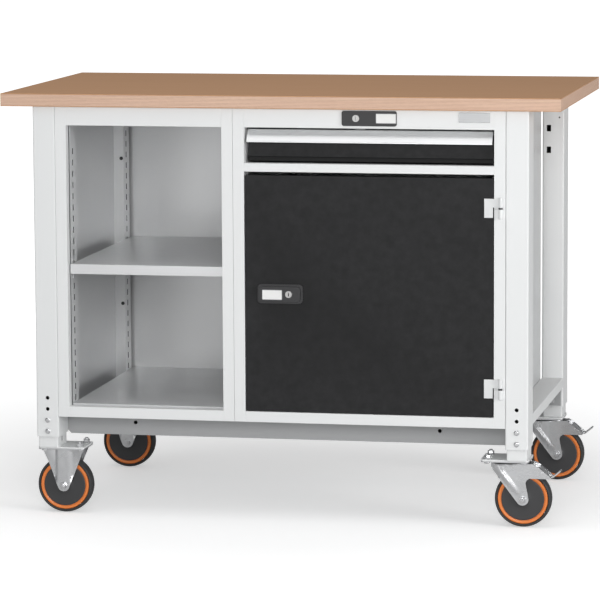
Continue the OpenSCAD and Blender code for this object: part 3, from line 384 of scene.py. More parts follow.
face_film = veneer("brown board face", (0.63, 0.355, 0.192), (0.59, 0.33, 0.177), (1.6, 55, 55), 0.6, 0.3,
                   specular=0.2)
long_veneer = veneer("pale edge veneer", (0.86, 0.63, 0.48), (0.72, 0.49, 0.36), (5, 5, 420), 0.55, 0.18)
end_veneer = veneer("end grain veneer", (0.70, 0.47, 0.35), (0.55, 0.345, 0.245), (60, 60, 420), 0.6, 0.25)
print("board finishes made")

# %% [markdown]
# ## The floor
# The floor is one large pale sheet. It glows a little, more and more with the distance, so that it
# runs out into the white tent. The light path node keeps the glow to what the camera sees, and so it
# doesn't light the bench from below.

# %% Floor
floor_finish = finish("pale studio floor", (0.80, 0.80, 0.80), 0.7, grain_size=0.004, bump=0.05, uneven=0.0,
                      smears=0.0, dust=0.0, specular=0.1)
glow_near, glow_far = (0.6, 0.44), (3.0, 0.95)
tree = floor_finish.node_tree
shader = tree.nodes["Principled BSDF"]
shader.inputs["Emission Color"].default_value = (1, 1, 1, 1)
away = put(tree, "ShaderNodeVectorMath", {0: on_object(tree)}, operation="LENGTH")
fade = put(tree, "ShaderNodeMapRange", {"Value": away.outputs["Value"], "From Min": glow_near[0],
           "From Max": glow_far[0], "To Min": glow_near[1], "To Max": glow_far[1]})
seen = put(tree, "ShaderNodeLightPath").outputs["Is Camera Ray"]
tree.links.new(maths(tree, "MULTIPLY", seen, fade.outputs[0]), shader.inputs["Emission Strength"])

reach, level_below = 60, -0.0005
floor = bpy.data.objects.new("studio_floor", bpy.data.meshes.new("studio_floor"))
floor_corners = [(x * reach, y * reach, level_below) for x, y in ((-1, -1), (1, -1), (1, 1), (-1, 1))]
floor.data.from_pydata(floor_corners, [], [(0, 1, 2, 3)])
floor.data.materials.append(floor_finish)
bpy.context.scene.collection.objects.link(floor)
print("floor laid,", 2 * reach, "m across")

# %% [markdown]
# ## Small helpers for meshes
# `plain` turns what the modifiers make into the mesh itself. `soften` rounds every sharp edge a
# little, because real sheet and castings have no razor edges and it is the rounding that catches
# the light. `attach` hangs a finished piece on the body it moves with.

# %% Mesh helpers
def plain(piece):
    graph = bpy.context.evaluated_depsgraph_get()
    evaluated = piece.evaluated_get(graph)
    made = bpy.data.meshes.new_from_object(evaluated, preserve_all_data_layers=True, depsgraph=graph)
    piece.modifiers.clear()
    piece.data = made
    return piece

def soften(piece, edge, segments=2, angle=40):
    if edge > 0:
        rounding = piece.modifiers.new("rounding", "BEVEL")
        rounding.width, rounding.segments = edge, segments
        rounding.limit_method, rounding.angle_limit = "ANGLE", math.radians(angle)
        rounding.miter_outer = "MITER_ARC"
    piece.data.polygons.foreach_set("use_smooth", [True] * len(piece.data.polygons))
    level = piece.modifiers.new("flat faces stay flat", "WEIGHTED_NORMAL")
    level.keep_sharp = True
    return plain(piece)

def attach(piece, body, nodes=()):
    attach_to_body(piece, body)
    if nodes:
        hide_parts(*nodes)
    return piece

def from_bmesh(name, bm, *materials):
    mesh = bpy.data.meshes.new(name)
    bm.to_mesh(mesh)
    bm.free()
    for material in materials:
        mesh.materials.append(material)
    made = bpy.data.objects.new(name, mesh)
    bpy.context.scene.collection.objects.link(made)
    return made

# %% [markdown]
# ## CAD parts with rounded edges
# A CAD solid arrives as loose triangles. A copy of it is welded, its flat triangles are joined into
# whole faces, and its edges are rounded by as much as the real process leaves: half a millimetre on
# cut sheet, more on folded doors and moulded plates. The copy then stands for the CAD part.

# %% Copying and softening a CAD part
def dressed(node, material, edge, segments=2, choose=None, extra=()):
    source = frame["nodes"][node]
    bm = bmesh.new()
    bm.from_mesh(source.data)
    bmesh.ops.remove_doubles(bm, verts=bm.verts, dist=2e-6)
    bmesh.ops.dissolve_limit(bm, angle_limit=math.radians(0.5), verts=bm.verts, edges=bm.edges)
    for face in bm.faces:
        face.material_index = choose(face) if choose else 0
    made = soften(from_bmesh(node + "_finished", bm, material, *extra), edge, segments)
    return attach(made, source["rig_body"], [node])

sheet_parts = {
    "lower_side_rails": (pale_coat, 0.0006), "upper_side_rails": (pale_coat, 0.0006),
    # The beams take the darker grey: painted shade under the cabinets.
    "front_beam": (shaded_beam_coat, 0.0007), "rear_beam": (shaded_beam_coat, 0.0007),
    # The cabinet insides take the satin sheet, its darker grey partly painted shade.
    "shelf_unit_body": (inner_coat_with_painted_shade, 0.0004), "shelf_unit_back": (inner_coat_with_painted_shade, 0.0004),
    "shelf_unit_floor": (inner_coat_with_painted_shade, 0.0008), "adjustable_shelf": (inner_coat_with_painted_shade, 0.0009),
    "drawer_unit_body": (inner_coat_with_painted_shade, 0.0004), "drawer_unit_back": (inner_coat_with_painted_shade, 0.0004),
    "drawer_unit_floor": (inner_coat_with_painted_shade, 0.0008), "drawer_unit_divider": (inner_coat_with_painted_shade, 0.0004),
    "drawer_box": (inner_coat_with_painted_shade, 0.0004), "drawer_front": (dark_coat, 0.0012),
    "door_panel": (dark_coat, 0.0020), "door_inner_panel": (dark_coat, 0.0005),
    "drawer_handle": (profile_metal, 0.0005), "lock_plate": (black_plastic, 0.0006),
    "door_handle_plate": (black_plastic, 0.0010), "door_handle": (black_plastic, 0.0012),
    "runner_outer": (zinc, 0.0003), "runner_middle": (zinc, 0.0003), "runner_inner": (zinc, 0.0003),
    "lock_cam": (zinc, 0.0003), "door_latch_arm": (zinc, 0.0004), "shelf_clips": (zinc, 0.0002),
    "swivel_plates": (zinc, 0.0004), "brake_pedal_front": (zinc, 0.0005), "brake_pedal_rear": (zinc, 0.0005),
}
made = [dressed(node, material, edge) for node, (material, edge) in sheet_parts.items()]
print(len(made), "CAD parts finished,", sum(len(p.data.polygons) for p in made), "faces")

# %% [markdown]
# ## Tubes, slotted strips and key slots
# The inside of the legs and feet, the cut edges of the small slots in the uprights and the walls of
# the key slots take a near-black finish. It is painted shade, so that an open bolt hole, a slot or a
# keyway looks black. A face's place or its area tells which finish it gets.

# %% Painted shade in tubes, slots and keyways
foot_plate_top = 0.1525

def inside_tube(wall, inset):
    def choose(face):
        point = face.calc_center_median()
        across = half_leg.x - inset - abs(abs(point.x) - leg_at.x)
        deep = half_leg.y - inset - abs(abs(point.y - middle_y) - (middle_y - leg_at.y))
        return 1 if min(across, deep) > wall * 0.75 and point.z > foot_plate_top else 0
    return choose

def small(face):
    slot_edge_area = 0.00004
    return 1 if face.calc_area() < slot_edge_area else 0

def key_slot(plug):
    centre, front = middle(plug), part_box(plug)[0].y
    slot_reach, slot_floor, flat_front = 0.0048, 0.0075, 0.003
    def choose(face):
        point = face.calc_center_median()
        inside = math.hypot(point.x - centre.x, point.z - centre.z) < slot_reach
        shallow = point.y < front + slot_floor
        slot_wall = abs(face.normal.y) < 0.5 or point.y > front + flat_front
        return 1 if inside and shallow and slot_wall else 0
    return choose

# Tube insides, slot edges and keyway walls take the near-black painted shade as second material.
for corner in ("front_left", "front_right", "rear_left", "rear_right"):
    dressed("leg_" + corner, pale_coat, 0.0006, choose=inside_tube(0.002, 0), extra=[painted_shade_black])
dressed("adjustable_feet", pale_coat, 0.0006, choose=inside_tube(0.0025, 0.003), extra=[painted_shade_black])
for unit in ("shelf", "drawer"):
    dressed(unit + "_unit_uprights", inner_coat_with_painted_shade, 0.0002, choose=small, extra=[painted_shade_black])
for plug in ("lock_plug", "door_lock_plug"):
    dressed(plug, nickel, 0.0002, choose=key_slot(plug), extra=[painted_shade_black])
print("tubes, uprights and lock cylinders finished")

# %% [markdown]
# ## The board, sheet by sheet
# Multiplex is a stack of thin veneers glued with the grain turned by a quarter each time. Its shape
# follows that rule, so a node tree builds it: a line of points, one thin box on each, and every
# second sheet standing back by a hair, as sanding leaves it. The number of sheets, the sizes and
# the three materials are the tree's inputs.

# %% Veneer stack tree
veneers, vin, vout = new_tree("veneer stack", "GeometryNodeTree",
    [("Length", "NodeSocketFloat", 1.24), ("Depth", "NodeSocketFloat", 0.7),
     ("Thickness", "NodeSocketFloat", 0.028), ("Underside", "NodeSocketFloat", 0.912),
     ("Sheets", "NodeSocketInt", 19), ("Stand back", "NodeSocketFloat", 0.0001),
     ("Face", "NodeSocketMaterial", None), ("Long grain", "NodeSocketMaterial", None),
     ("End grain", "NodeSocketMaterial", None)],
    [("Geometry", "NodeSocketGeometry")])

def at_height(z):
    return put(veneers, "ShaderNodeCombineXYZ", {"Z": z}).outputs[0]

step = maths(veneers, "DIVIDE", vin.outputs["Thickness"], vin.outputs["Sheets"])
lowest = maths(veneers, "MULTIPLY_ADD", step, 0.5, vin.outputs["Underside"])
line = put(veneers, "GeometryNodeMeshLine", {"Count": vin.outputs["Sheets"],
           "Start Location": at_height(lowest), "Offset": at_height(step)})
number = put(veneers, "GeometryNodeInputIndex").outputs[0]
named = put(veneers, "GeometryNodeStoreNamedAttribute", {"Geometry": line.outputs[0], "Name": "sheet",
            "Value": number}, data_type="INT", domain="POINT")
odd = maths(veneers, "MODULO", number, 2.0)
narrower = maths(veneers, "MULTIPLY", maths(veneers, "MULTIPLY", odd, 2.0), vin.outputs["Stand back"])
size = put(veneers, "ShaderNodeCombineXYZ", {"X": maths(veneers, "SUBTRACT", vin.outputs["Length"], narrower),
           "Y": maths(veneers, "SUBTRACT", vin.outputs["Depth"], narrower), "Z": step})
unit_box = put(veneers, "GeometryNodeMeshCube", {"Size": (1, 1, 1)}).outputs[0]
sheets = put(veneers, "GeometryNodeInstanceOnPoints", {"Points": named.outputs[0], "Instance": unit_box,
             "Scale": size.outputs[0]})
real = put(veneers, "GeometryNodeRealizeInstances", {0: sheets.outputs[0]})

def paint(geometry, material, where=True):
    return put(veneers, "GeometryNodeSetMaterial", {0: geometry, "Material": vin.outputs[material],
               "Selection": where}).outputs[0]

which = put(veneers, "GeometryNodeInputNamedAttribute", {"Name": "sheet"}, data_type="INT").outputs[0]
top_number = maths(veneers, "SUBTRACT", vin.outputs["Sheets"], 1.5)
bottom_or_top = (maths(veneers, "LESS_THAN", which, 0.5), maths(veneers, "GREATER_THAN", which, top_number))
lengthwise = paint(real.outputs[0], "Long grain")
crossed = paint(lengthwise, "End grain", maths(veneers, "MODULO", which, 2.0))
veneers.links.new(paint(crossed, "Face", maths(veneers, "ADD", *bottom_or_top)), vout.inputs[0])
print("veneer stack:", len(veneers.nodes), "nodes")

# %% [markdown]
# A tree does nothing until a modifier runs it on an object. Its inputs are set by their identifiers,
# before the object is first evaluated, and the result is then made plain, so that nothing depends on
# the tree afterwards. The board's length, depth and thickness come from the CAD worktop.

# %% Running a tree and making the board
def run_tree(name, tree, points, values):
    holder = bpy.data.objects.new(name, bpy.data.meshes.new(name))
    holder.data.from_pydata(points, [], [])
    bpy.context.scene.collection.objects.link(holder)
    nodes_step = holder.modifiers.new("nodes", "NODES")
    nodes_step.node_group = tree
    for item in tree.interface.items_tree:
        if item.in_out == "INPUT" and item.name in values:
            nodes_step[item.identifier] = values[item.name]
    return plain(holder)

low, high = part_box("worktop")
board = run_tree("board", veneers, [], {
    "Length": high.x - low.x, "Depth": high.y - low.y, "Thickness": high.z - low.z, "Underside": low.z,
    "Sheets": 19, "Stand back": 0.00012, "Face": face_film, "Long grain": long_veneer,
    "End grain": end_veneer})
attach(soften(board, 0.00022, 1), "bench", ["worktop"])
print("board:", len(board.data.polygons), "faces,", len(board.data.materials), "materials")

# %% [markdown]
# ## Turned shapes
# Wheels, washers, nuts and screw heads are all profiles turned round an axis. One helper takes the
# profile as pairs of radius and height. With six sides it gives a hexagon, and a small wave on the
# radius gives the star socket of a safety screw.

# %% Turning a profile
def turned(bm, profile, sides=32, closed=False, wave=0.0, turn=None):
    lobes = 6
    rings = []
    for radius, height in profile:
        ring = []
        for k in range(sides):
            angle = 2 * math.pi * k / sides
            here = radius * (1 + wave * math.cos(lobes * angle))
            at = Vector((here * math.cos(angle), here * math.sin(angle), height))
            ring.append(bm.verts.new(turn @ at if turn else at))
        rings.append(ring)
    made = []
    for a, b in list(zip(rings, rings[1:])) + ([(rings[-1], rings[0])] if closed else []):
        made += [bm.faces.new((a[k], a[(k + 1) % sides], b[(k + 1) % sides], b[k])) for k in range(sides)]
    if not closed:
        made += [bm.faces.new(list(reversed(rings[0]))), bm.faces.new(rings[-1])]
    bmesh.ops.recalc_face_normals(bm, faces=made)

MM = 0.001
def mm(*pairs):
    return [(a * MM, b * MM) for a, b in pairs]

print("profiles are written in millimetres, 1 mm =", MM)

# %% [markdown]
# ## Wheels
# A wheel has three parts that show: the rubber tyre with its rounded shoulders, the orange ring it is
# moulded on, and a dark cover pressed into each side. Fine grooves part them. Each part is a closed
# profile, so the seams between colours are real steps and not paint.

# %% Wheel profiles
wheel_turn = Matrix.Rotation(math.radians(-90), 4, "X")
tyre_side = mm((55.7, 13.4), (56.1, 14.8), (57.0, 15.7), (58.4, 15.9), (60.0, 15.0), (61.2, 13.2),
               (62.0, 10.4), (62.4, 6.0))
tyre_profile = tyre_side + mm((62.5, 0.0)) + [(r, -h) for r, h in reversed(tyre_side)]
ring_side = mm((6.05, 13.0), (47.9, 13.0), (48.9, 13.2), (50.0, 14.6), (53.6, 14.6), (54.7, 14.0),
               (55.2, 12.8))
ring_profile = ring_side + [(r, -h) for r, h in reversed(ring_side)]
cover_profile = mm((6.1, 13.1), (6.1, 18.5), (13.6, 18.5), (14.6, 18.0), (15.2, 16.4), (18.0, 15.4),
                   (24.0, 14.9), (38.0, 14.9), (44.0, 15.2), (46.2, 15.2), (47.2, 14.5), (47.3, 13.1))
far_cover = [(r, -h) for r, h in cover_profile]

def wheel_piece(name, corner, profiles, finish_of, nodes=()):
    bm = bmesh.new()
    for profile in profiles:
        turned(bm, profile, 96, closed=True, turn=Matrix.Translation(middle("tyre_" + corner)) @ wheel_turn)
    attach(soften(from_bmesh(name + corner, bm, finish_of), 0), "wheel_" + corner, nodes)

for corner in ("front_left", "rear_left", "front_right", "rear_right"):
    wheel_piece("tread_", corner, [tyre_profile], tyre_rubber, ["tyre_" + corner])
    wheel_piece("ring_", corner, [ring_profile], orange_plastic, ["wheel_core_" + corner])
    wheel_piece("covers_", corner, [cover_profile, far_cover], cover_plastic)
print("wheels made, radius", round(wheel_r, 4))

# %% [markdown]
# ## Screws, nuts and bolts
# The bench is held together by a few kinds of fastener, each many times over. One of each kind is
# modelled, and a node tree sets a copy on every point it is given, tilts it to the face and turns it
# by its own random amount, because no two nuts end at the same angle. The seed is fixed.

# %% Fastener tree
setter, fin, fout = new_tree("set fasteners", "GeometryNodeTree",
    [("Geometry", "NodeSocketGeometry", None), ("Kind", "NodeSocketObject", None),
     ("Tilt", "NodeSocketVector", (0, 0, 0)), ("Largest turn", "NodeSocketFloat", 6.28),
     ("Seed", "NodeSocketInt", 1), ("Finish", "NodeSocketMaterial", None)],
    [("Geometry", "NodeSocketGeometry")])
kind = put(setter, "GeometryNodeObjectInfo", {"Object": fin.outputs["Kind"]}, transform_space="ORIGINAL")
tilt = put(setter, "FunctionNodeEulerToRotation", {0: fin.outputs["Tilt"]})
placed = put(setter, "GeometryNodeInstanceOnPoints", {"Points": fin.outputs["Geometry"],
             "Instance": kind.outputs["Geometry"], "Rotation": tilt.outputs[0]})
chance = put(setter, "FunctionNodeRandomValue", {"Seed": fin.outputs["Seed"],
             "Max": fin.outputs["Largest turn"]}, data_type="FLOAT")
random_turn = next(s for s in chance.outputs if s.enabled)
about_axis = put(setter, "ShaderNodeCombineXYZ", {"Z": random_turn}).outputs[0]
spin = put(setter, "FunctionNodeEulerToRotation", {0: about_axis})
turned_each = put(setter, "GeometryNodeRotateInstances", {"Instances": placed.outputs[0],
                  "Rotation": spin.outputs[0], "Local Space": True})
real = put(setter, "GeometryNodeRealizeInstances", {0: turned_each.outputs[0]})
coloured = put(setter, "GeometryNodeSetMaterial", {0: real.outputs[0], "Material": fin.outputs["Finish"]})
setter.links.new(coloured.outputs[0], fout.inputs[0])
print("fastener tree:", len(setter.nodes), "nodes")

# %% [markdown]
# A nut has a washer under it and the end of its bolt standing out of it. A button head has a star
# socket sunk in its crown, and a pan head a smaller one. Each is a few turned profiles laid together.

# %% One of each kind
def kind_of(name, *parts):
    bm = bmesh.new()
    for profile, sides, wave in parts:
        turned(bm, mm(*profile), sides, wave=wave)
    made = from_bmesh("kind_" + name, bm)
    made.data.polygons.foreach_set("use_smooth", [True] * len(made.data.polygons))
    made.data.set_sharp_from_angle(angle=math.radians(32))
    return made

washer = [(8.0, 0.0), (8.3, 0.3), (8.3, 1.2), (8.0, 1.5), (4.2, 1.5)]
hexagon = [(7.1, 1.5), (7.5, 1.9), (7.5, 7.2), (7.0, 7.9), (4.4, 8.0), (4.3, 7.6)]
button = [(6.2, 0.0), (6.2, 0.5), (5.8, 1.4), (4.9, 2.2), (3.6, 2.75), (2.9, 2.8)]
star_socket = [(2.9, 2.81), (2.6, 2.82), (2.2, 1.2), (2.0, 1.15)]
bolt_end = [(4.0, 7.0), (4.0, 10.4), (3.3, 11.2)]
kinds = {
    "nut": kind_of("nut", (washer, 32, 0), (hexagon, 6, 0), (bolt_end, 20, 0)),
    "hex_head": kind_of("hex_head", ([(7.4, 0.0), (7.5, 0.4), (7.5, 3.5), (7.0, 4.0), (5.0, 4.0)], 6, 0)),
    "button_head": kind_of("button_head", (button, 36, 0), (star_socket, 36, 0.16)),
    "pan_head": kind_of("pan_head", ([(4.2, 0.0), (4.2, 0.9), (3.6, 1.8), (2.4, 2.2)], 24, 0),
                        ([(1.6, 2.21), (1.3, 1.2)], 24, 0.2)),
}
print("kinds:", list(kinds))

# %% [markdown]
# Each set is a list of points on a face and the way that its heads look. The feet are screwed
# through the legs, the beams bolt to the inside of the legs, the casters hang on four bolts each,
# and the board is screwed from below through the upper rails.

# %% Setting them
UP, DOWN = (0, 0, 0), (math.pi, 0, 0)
FORWARD, BACKWARD = (math.pi / 2, 0, 0), (-math.pi / 2, 0, 0)

def set_all(name, kind, tilt, points, body, seed, nodes=(), finish_of=zinc):
    made = run_tree(name, setter, points, {"Kind": kinds[kind], "Tilt": tilt, "Largest turn": 6.28,
                                           "Seed": seed, "Finish": finish_of})
    attach(made, body, nodes)

def on_legs(y, heights):
    return [(s * leg_at.x, y, z) for s in (-1, 1) for z in heights]

foot_z, beam_z, beam_t = (0.1885, 0.2135), (0.192, 0.210), 0.0025
set_all("foot_screws_front", "button_head", FORWARD, on_legs(front_leg[0].y, foot_z), "bench", 1,
        ["foot_screws"])
set_all("foot_screws_rear", "button_head", BACKWARD, on_legs(rear_leg[1].y, foot_z), "bench", 2)
set_all("beam_bolts_front", "hex_head", BACKWARD, on_legs(front_leg[1].y + beam_t, beam_z), "bench", 3,
        ["frame_bolts"])
set_all("beam_bolts_rear", "hex_head", FORWARD, on_legs(rear_leg[0].y - beam_t, beam_z), "bench", 4)

rail_x, screw_pitch, rail_under = 0.520, 0.191, 0.909
board_screws = [(s * rail_x, middle_y + k * screw_pitch, rail_under) for s in (-1, 1) for k in (-1, 0, 1)]
set_all("board_screws", "hex_head", DOWN, board_screws, "bench", 5)

bolt_dx, bolt_dy, foot_top, plate_under = 0.040, 0.030, 0.152, 0.146
near_x, far_x = swivel_x - bolt_dx, swivel_x + bolt_dx
bolt_y = [y + d for y in wheel_rows for d in (-bolt_dy, bolt_dy)]
set_all("caster_nuts", "nut", UP, [(s * near_x, y, foot_top) for s in (-1, 1) for y in bolt_y], "bench", 6,
        ["caster_bolts"])
under = [(s * x, y, plate_under) for s in (-1, 1) for x in (near_x, far_x) for y in bolt_y]
set_all("caster_heads", "hex_head", DOWN, under, "bench", 7)

upright_screws = [(x, 0.1695, z) for x in (-0.4795, -0.1205) for z in (0.752, 0.410)]
set_all("upright_screws", "pan_head", FORWARD, upright_screws, "bench", 8, finish_of=black_plastic)
print("frame, board and casters screwed together")

# %% [markdown]
# An axle is a bolt through the fork: its head shows on one side and its nut on the other. The fixed
# forks are one CAD part, so the nut of the first one stands for both axles, and the swivel axles are
# replaced one by one because each turns with its own fork.

# %% Axle bolts
fixed_half, swivel_half = 0.026, 0.022
front_y, rear_y = wheel_rows
axle_bolts = (("left_front", "bench", fixed_axle.x, front_y, fixed_half, ["fixed_axles"]),
              ("left_rear", "bench", fixed_axle.x, rear_y, fixed_half, []),
              ("right_front", "swivel_front", swivel_axle.x, front_y, swivel_half, ["swivel_axle_front"]),
              ("right_rear", "swivel_rear", swivel_axle.x, rear_y, swivel_half, ["swivel_axle_rear"]))
for place, body, x, y, half, nodes in axle_bolts:
    set_all("axle_" + place + "_nut", "nut", FORWARD, [(x, y - half, wheel_r)], body, 9, nodes)
    set_all("axle_" + place + "_head", "hex_head", BACKWARD, [(x, y + half, wheel_r)], body, 10)
for made in kinds.values():
    bpy.data.objects.remove(made)
print(len(axle_bolts), "axles bolted")

# %% [markdown]
# ## The cabinets' front frames
# Each front is two folded uprights with rails welded in between, so a fine seam shows at both ends
# of every rail. Modelled as one plate those seams would be lost, so every strip is a folded section
# of its own, pushed along its length and rounded alone.

# %% Folded strips
def strip(bm, outline, along, start, end):
    def at(u, v, t):
        return Vector((u, v, t)) if along == "Z" else Vector((t, u, v))
    first = [bm.verts.new(at(u, v, start)) for u, v in outline]
    last = [bm.verts.new(at(u, v, end)) for u, v in outline]
    count = len(outline)
    made = []
    for k in range(count):
        after = (k + 1) % count
        made.append(bm.faces.new((first[k], first[after], last[after], last[k])))
    made += [bm.faces.new(list(reversed(first))), bm.faces.new(last)]
    bmesh.ops.recalc_face_normals(bm, faces=made)

stile, fold, thick = 0.02475, 0.022, 0.0015

def upright_outline(outer, edge, y0):
    back = edge - thick if outer < edge else edge + thick
    lip = [(edge, y0), (edge, y0 + fold), (back, y0 + fold), (back, y0 + thick)]
    return [(outer, y0)] + lip + [(outer, y0 + thick)]

def rail_outline(low, high, folds, y0):
    over = [(y0 + fold, high), (y0 + fold, high - thick), (y0 + thick, high - thick)]
    under = [(y0 + thick, low + thick), (y0 + fold, low + thick), (y0 + fold, low)]
    outline = [(y0, low), (y0, high)]
    outline += over if "top" in folds else [(y0 + thick, high)]
    return outline + (under if "bottom" in folds else [(y0 + thick, low)])

def front_frame(name, node, rails):
    low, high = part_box(node)
    opening = (low.x + stile, high.x - stile)
    bm = bmesh.new()
    for outer, edge in ((low.x, opening[0]), (high.x, opening[1])):
        strip(bm, upright_outline(outer, edge, low.y), "Z", low.z, high.z)
    for rail in rails:
        strip(bm, rail_outline(*rail, low.y), "X", *opening)
    attach(soften(from_bmesh(name, bm, pale_coat), 0.0005), "bench", [node])

top_rail, drawer_rail = (0.8705, 0.912, ("bottom",)), (0.774, 0.7925, ("top", "bottom"))
bottom_rail = (0.222, 0.2455, ("top",))
front_frame("shelf_front", "shelf_unit_front", [top_rail, bottom_rail])
front_frame("drawer_front_frame", "drawer_unit_front", [top_rail, drawer_rail, bottom_rail])
print("front frames made")

# %% [markdown]
# ## Fixed forks
# A fixed fork is one sheet: a plate with two sides bent down, each drawn to a point at the axle. A
# bead is pressed down its middle to stiffen it, and the wings flare out where they meet the plate.
# The side is a grid of points whose distance from the wheel follows that rule, then given thickness.

# %% Fork helpers
half_inside, fork_sheet, tip_r = 0.022, 0.003, 0.0135
column_step, tip_rows = 0.002, [-tip_r + 0.0009 * k for k in range(16)]

def ease(t):
    t = max(0.0, min(1.0, t))
    return t * t * (3 - 2 * t)

def join_rows(bm, rows, side):
    for (lower, count), (upper, _) in zip(rows, rows[1:]):
        for k in range(count - 1):
            loop = (lower[k], lower[k + 1], upper[k + 1], upper[k])
            bm.faces.new(loop if side < 0 else tuple(reversed(loop)))

def fork_piece(name, bm, edge, body, node):
    bmesh.ops.remove_doubles(bm, verts=bm.verts, dist=1e-6)
    bmesh.ops.dissolve_degenerate(bm, dist=1e-7, edges=bm.edges)
    sides = from_bmesh(name, bm, zinc)
    walls = sides.modifiers.new("sheet", "SOLIDIFY")
    walls.thickness, walls.offset = fork_sheet, -1
    attach(soften(plain(sides), edge, 2, 55), body, [node])

print("fork sheet", fork_sheet, "m thick")

# %% [markdown]
# The side of a fixed fork is a triangle with a round tip. Below the point where the round meets the
# straight edges its half width comes from the circle, and above it from the line. The plate that the
# forks hang from is a flat sheet with round corners.

# %% Fixed forks
def half_width(z, top=0.047, height=0.0835):
    slope = math.atan2(height, top)
    touch = slope - math.acos(tip_r / math.hypot(top, height))
    tx, tz = tip_r * math.cos(touch), tip_r * math.sin(touch)
    if z < tz:
        return math.sqrt(max(tip_r * tip_r - z * z, 0.0))
    return tx + (top - tx) * (z - tz) / (height - tz)

def fork_side(bm, y, side):
    columns = [k * column_step for k in range(-24, 25)]
    rows = []
    for z in tip_rows + [0.001 + 0.0825 * k / 24 for k in range(1, 25)]:
        wide, row = half_width(z), []
        for column in columns:
            px = max(-wide, min(wide, column))
            bead = 0.004 * (1 - ease((abs(px) - 0.0135) / 0.0045))
            if z < 0.02:
                boss = ease((0.024 - z) / 0.02)
                bead = 0.004 * boss + bead * (1 - boss)
            flare = 0.005 * ease((z - 0.050) / 0.034) * ease((abs(px) - 0.019) / 0.020)
            out = half_inside + bead + flare
            row.append(bm.verts.new((fixed_axle.x + px, y + side * out, wheel_r + z)))
        rows.append((row, len(columns)))
    join_rows(bm, rows, side)

def plate_outline(x, y, length, width, radius, steps=6):
    points = []
    for quarter, (sx, sy) in enumerate(((1, 1), (-1, 1), (-1, -1), (1, -1))):
        for k in range(steps + 1):
            angle = math.radians(90 * quarter + 90 * k / steps)
            points.append((x + sx * (length / 2 - radius) + radius * math.cos(angle),
                           y + sy * (width / 2 - radius) + radius * math.sin(angle)))
    return points

bm = bmesh.new()
for y in wheel_rows:
    for side in (-1, 1):
        fork_side(bm, y, side)
fork_piece("fork_sides_left", bm, 0.0005, "bench", "fixed_forks")
bm = bmesh.new()
for y in wheel_rows:
    strip(bm, plate_outline(fixed_axle.x, y, 0.105, 0.085, 0.006), "Z", 0.146, 0.149)
attach(soften(from_bmesh("fork_plates_left", bm, zinc), 0.0006), "bench")
print("fixed forks made")

# %% [markdown]
# ## Swivel forks
# A swivel fork's side runs from the head down to the axle and forward into the arm that carries the
# brake pedal. Its back edge rolls inwards and a soft ridge follows it, which stiffens the sheet. The
# outline is read as two edges, left and right, at each height, and the ridge is a rule on the
# distance from the left edge. The head is a round plate with a bar bent down behind it.

# %% Swivel fork sides and heads
def on_line(z, points):
    for (x0, z0), (x1, z1) in zip(points, points[1:]):
        if z <= z1:
            return x0 + (x1 - x0) * (z - z0) / (z1 - z0)
    return points[-1][0]

back_edge = mm((-10.7, -8.2), (-65.5, 63.5), (-69.5, 74.5), (-69.6, 78.6))
throat_edge = mm((13.5, 0), (7, 36), (9, 42), (15, 46.6))
arm_edge = mm((60, 46.5), (62, 49.5), (34, 72.5), (24, 78.6))

def swivel_edges(z, upper):
    tip_x = math.sqrt(max(tip_r * tip_r - z * z, 0.0))
    left = -tip_x if z < -0.0082 else on_line(z, back_edge)
    if upper:
        return left, on_line(z, arm_edge)
    return left, tip_x if z < 0 else on_line(z, throat_edge)

def swivel_side(bm, y, side):
    arm_x, arm_z, arm_rise = 0.015, 0.0465, 0.032
    columns = [k * column_step for k in range(-35, 8)] + [arm_x] + [k * column_step for k in range(8, 32)]
    heights = [(z, False) for z in tip_rows + [arm_z * k / 22 for k in range(1, 22)]]
    heights += [(arm_z + arm_rise * k / 14, True) for k in range(15)]
    rows = []
    for z, upper in heights:
        (left, right), row = swivel_edges(z, upper), []
        for column in columns:
            px = max(left, min(right, column))
            inset = px - left
            ridge = 0.0024 * (1 - ease(abs(inset - 0.016) / 0.011)) * ease((z - 0.004) / 0.040)
            roll = 0.0045 * (1 - ease(inset / 0.009)) * ease((math.hypot(px, z) - 0.066) / 0.012)
            out = half_inside + ridge - roll
            row.append(bm.verts.new((swivel_axle.x + px, y + side * out, wheel_r + z)))
        rows.append((row, len(columns) if upper else columns.index(arm_x) + 1))
    join_rows(bm, rows, side)

def head_plate(bm, y):
    head_r, flat_x, flat_y, bar_x, bar_y = 0.033, 0.028, 0.0219, 0.029, 0.0175
    points = []
    for k in range(64):
        angle = 2 * math.pi * k / 64
        u, v = head_r * math.cos(angle), head_r * math.sin(angle)
        points.append((swivel_x + (flat_x if abs(v) < flat_y and u > 0 else u), y + v))
    strip(bm, points, "Z", 0.138, 0.141)
    bar_corners = ((head_r, -bar_y), (bar_x, -bar_y), (bar_x, bar_y), (head_r, bar_y))
    bar = [(swivel_x - x, y + v) for x, v in bar_corners]
    strip(bm, bar, "Z", 0.132, 0.1385)

for body, y in zip(("swivel_front", "swivel_rear"), wheel_rows):
    bm = bmesh.new()
    for side in (-1, 1):
        swivel_side(bm, y, side)
    fork_piece("fork_sides_" + body, bm, 0.0006, body, body.replace("swivel", "swivel_fork"))
    bm = bmesh.new()
    head_plate(bm, y)
    attach(soften(from_bmesh("fork_head_" + body, bm, zinc), 0.0005), body)
print("swivel forks made")

# %% [markdown]
# ## Swivel seals
# Under each swivel plate a black ring keeps dirt out of the ball race. It stands still with the
# plate while the fork turns below it.

# %% Seals
seal_profile = mm((31.2, 141.5), (34.6, 141.5), (35.2, 142.2), (34.4, 145.4), (33.6, 145.9), (31.2, 145.9))
bm = bmesh.new()
for y in wheel_rows:
    turned(bm, seal_profile, 64, closed=True, turn=Matrix.Translation((swivel_x, y, 0)))
attach(soften(from_bmesh("race_seals", bm, black_plastic), 0), "bench")
print("seals made")

# %% [markdown]
# ## Hinges with a black bush
# The knuckles are painted with the frame, and a black plastic bush sits between the two halves. It
# belongs to the frame's leaf, so its faces are found by height and take a second material.

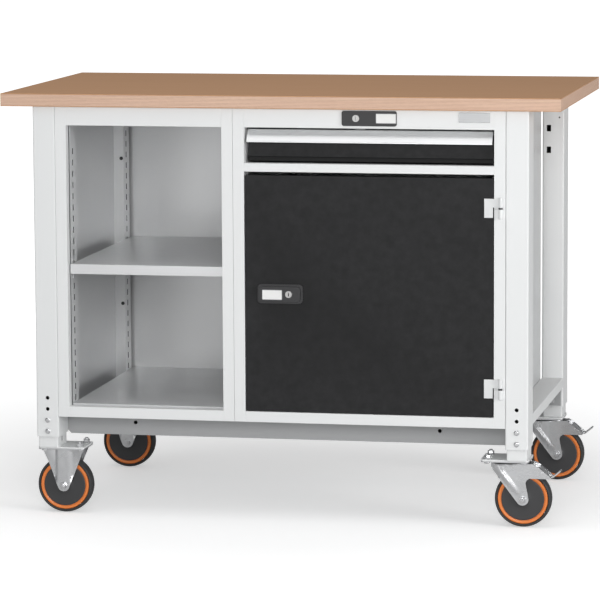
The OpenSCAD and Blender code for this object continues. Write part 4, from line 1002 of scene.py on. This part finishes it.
# %% Hinges
bush_x, bush_z, half_bush = 0.4835, (0.309, 0.702), 0.0022

def at_bush(face):
    point = face.calc_center_median()
    return 1 if point.x > bush_x and min(abs(point.z - z) for z in bush_z) < half_bush else 0

dressed("hinge_frame_leaves", hinge_coat, 0.0004, choose=at_bush, extra=[black_plastic])
dressed("door_hinge_leaves", hinge_coat, 0.0004)
print("hinges made")

# %% [markdown]
# ## Label holders and the blank badge
# Two small holders take a paper insert: one beside the drawer's lock, one on the door's lever. The
# metal badge on the top rail is left blank. A holder is a rounded rim with the paper set into it,
# and the rim is modelled as a raised border so that it casts its own fine line.

# %% Rimmed plates
def rimmed(name, low, high, y, thick, rim, radius, finishes, body):
    (x0, z0), (x1, z1) = low, high
    bm = bmesh.new()
    def loop(inset, depth):
        outline = plate_outline((x0 + x1) / 2, (z0 + z1) / 2, x1 - x0 - 2 * inset, z1 - z0 - 2 * inset,
                                max(radius - inset, 0.0003))
        return [bm.verts.new((u, y - depth, v)) for u, v in outline]
    loops = [loop(0, 0), loop(0, thick), loop(rim, thick), loop(rim, thick * 0.55)]
    count, made = len(loops[0]), []
    for a, b in zip(loops, loops[1:]):
        made += [bm.faces.new((a[k], a[(k + 1) % count], b[(k + 1) % count], b[k])) for k in range(count)]
    made.append(bm.faces.new(list(reversed(loops[0]))))
    window = bm.faces.new(loops[-1])
    window.material_index = 1
    bmesh.ops.recalc_face_normals(bm, faces=made + [window])
    attach(soften(from_bmesh(name, bm, *finishes), 0.00012, 1), body)

holder, badge = (clear_frame, paper), (plate_metal, plate_metal)
rimmed("drawer_label", (0.2180, 0.8825), (0.2620, 0.9033), -0.3425, 0.0009, 0.0011, 0.0012, holder, "bench")
rimmed("door_label", (-0.0340, 0.4950), (0.0100, 0.5164), -0.3486, 0.0009, 0.0011, 0.0012, holder, "latch")
rimmed("blank_badge", (0.3984, 0.8860), (0.4663, 0.9073), -0.3400, 0.0012, 0.0007, 0.0010, badge, "bench")
print("labels and badge made")
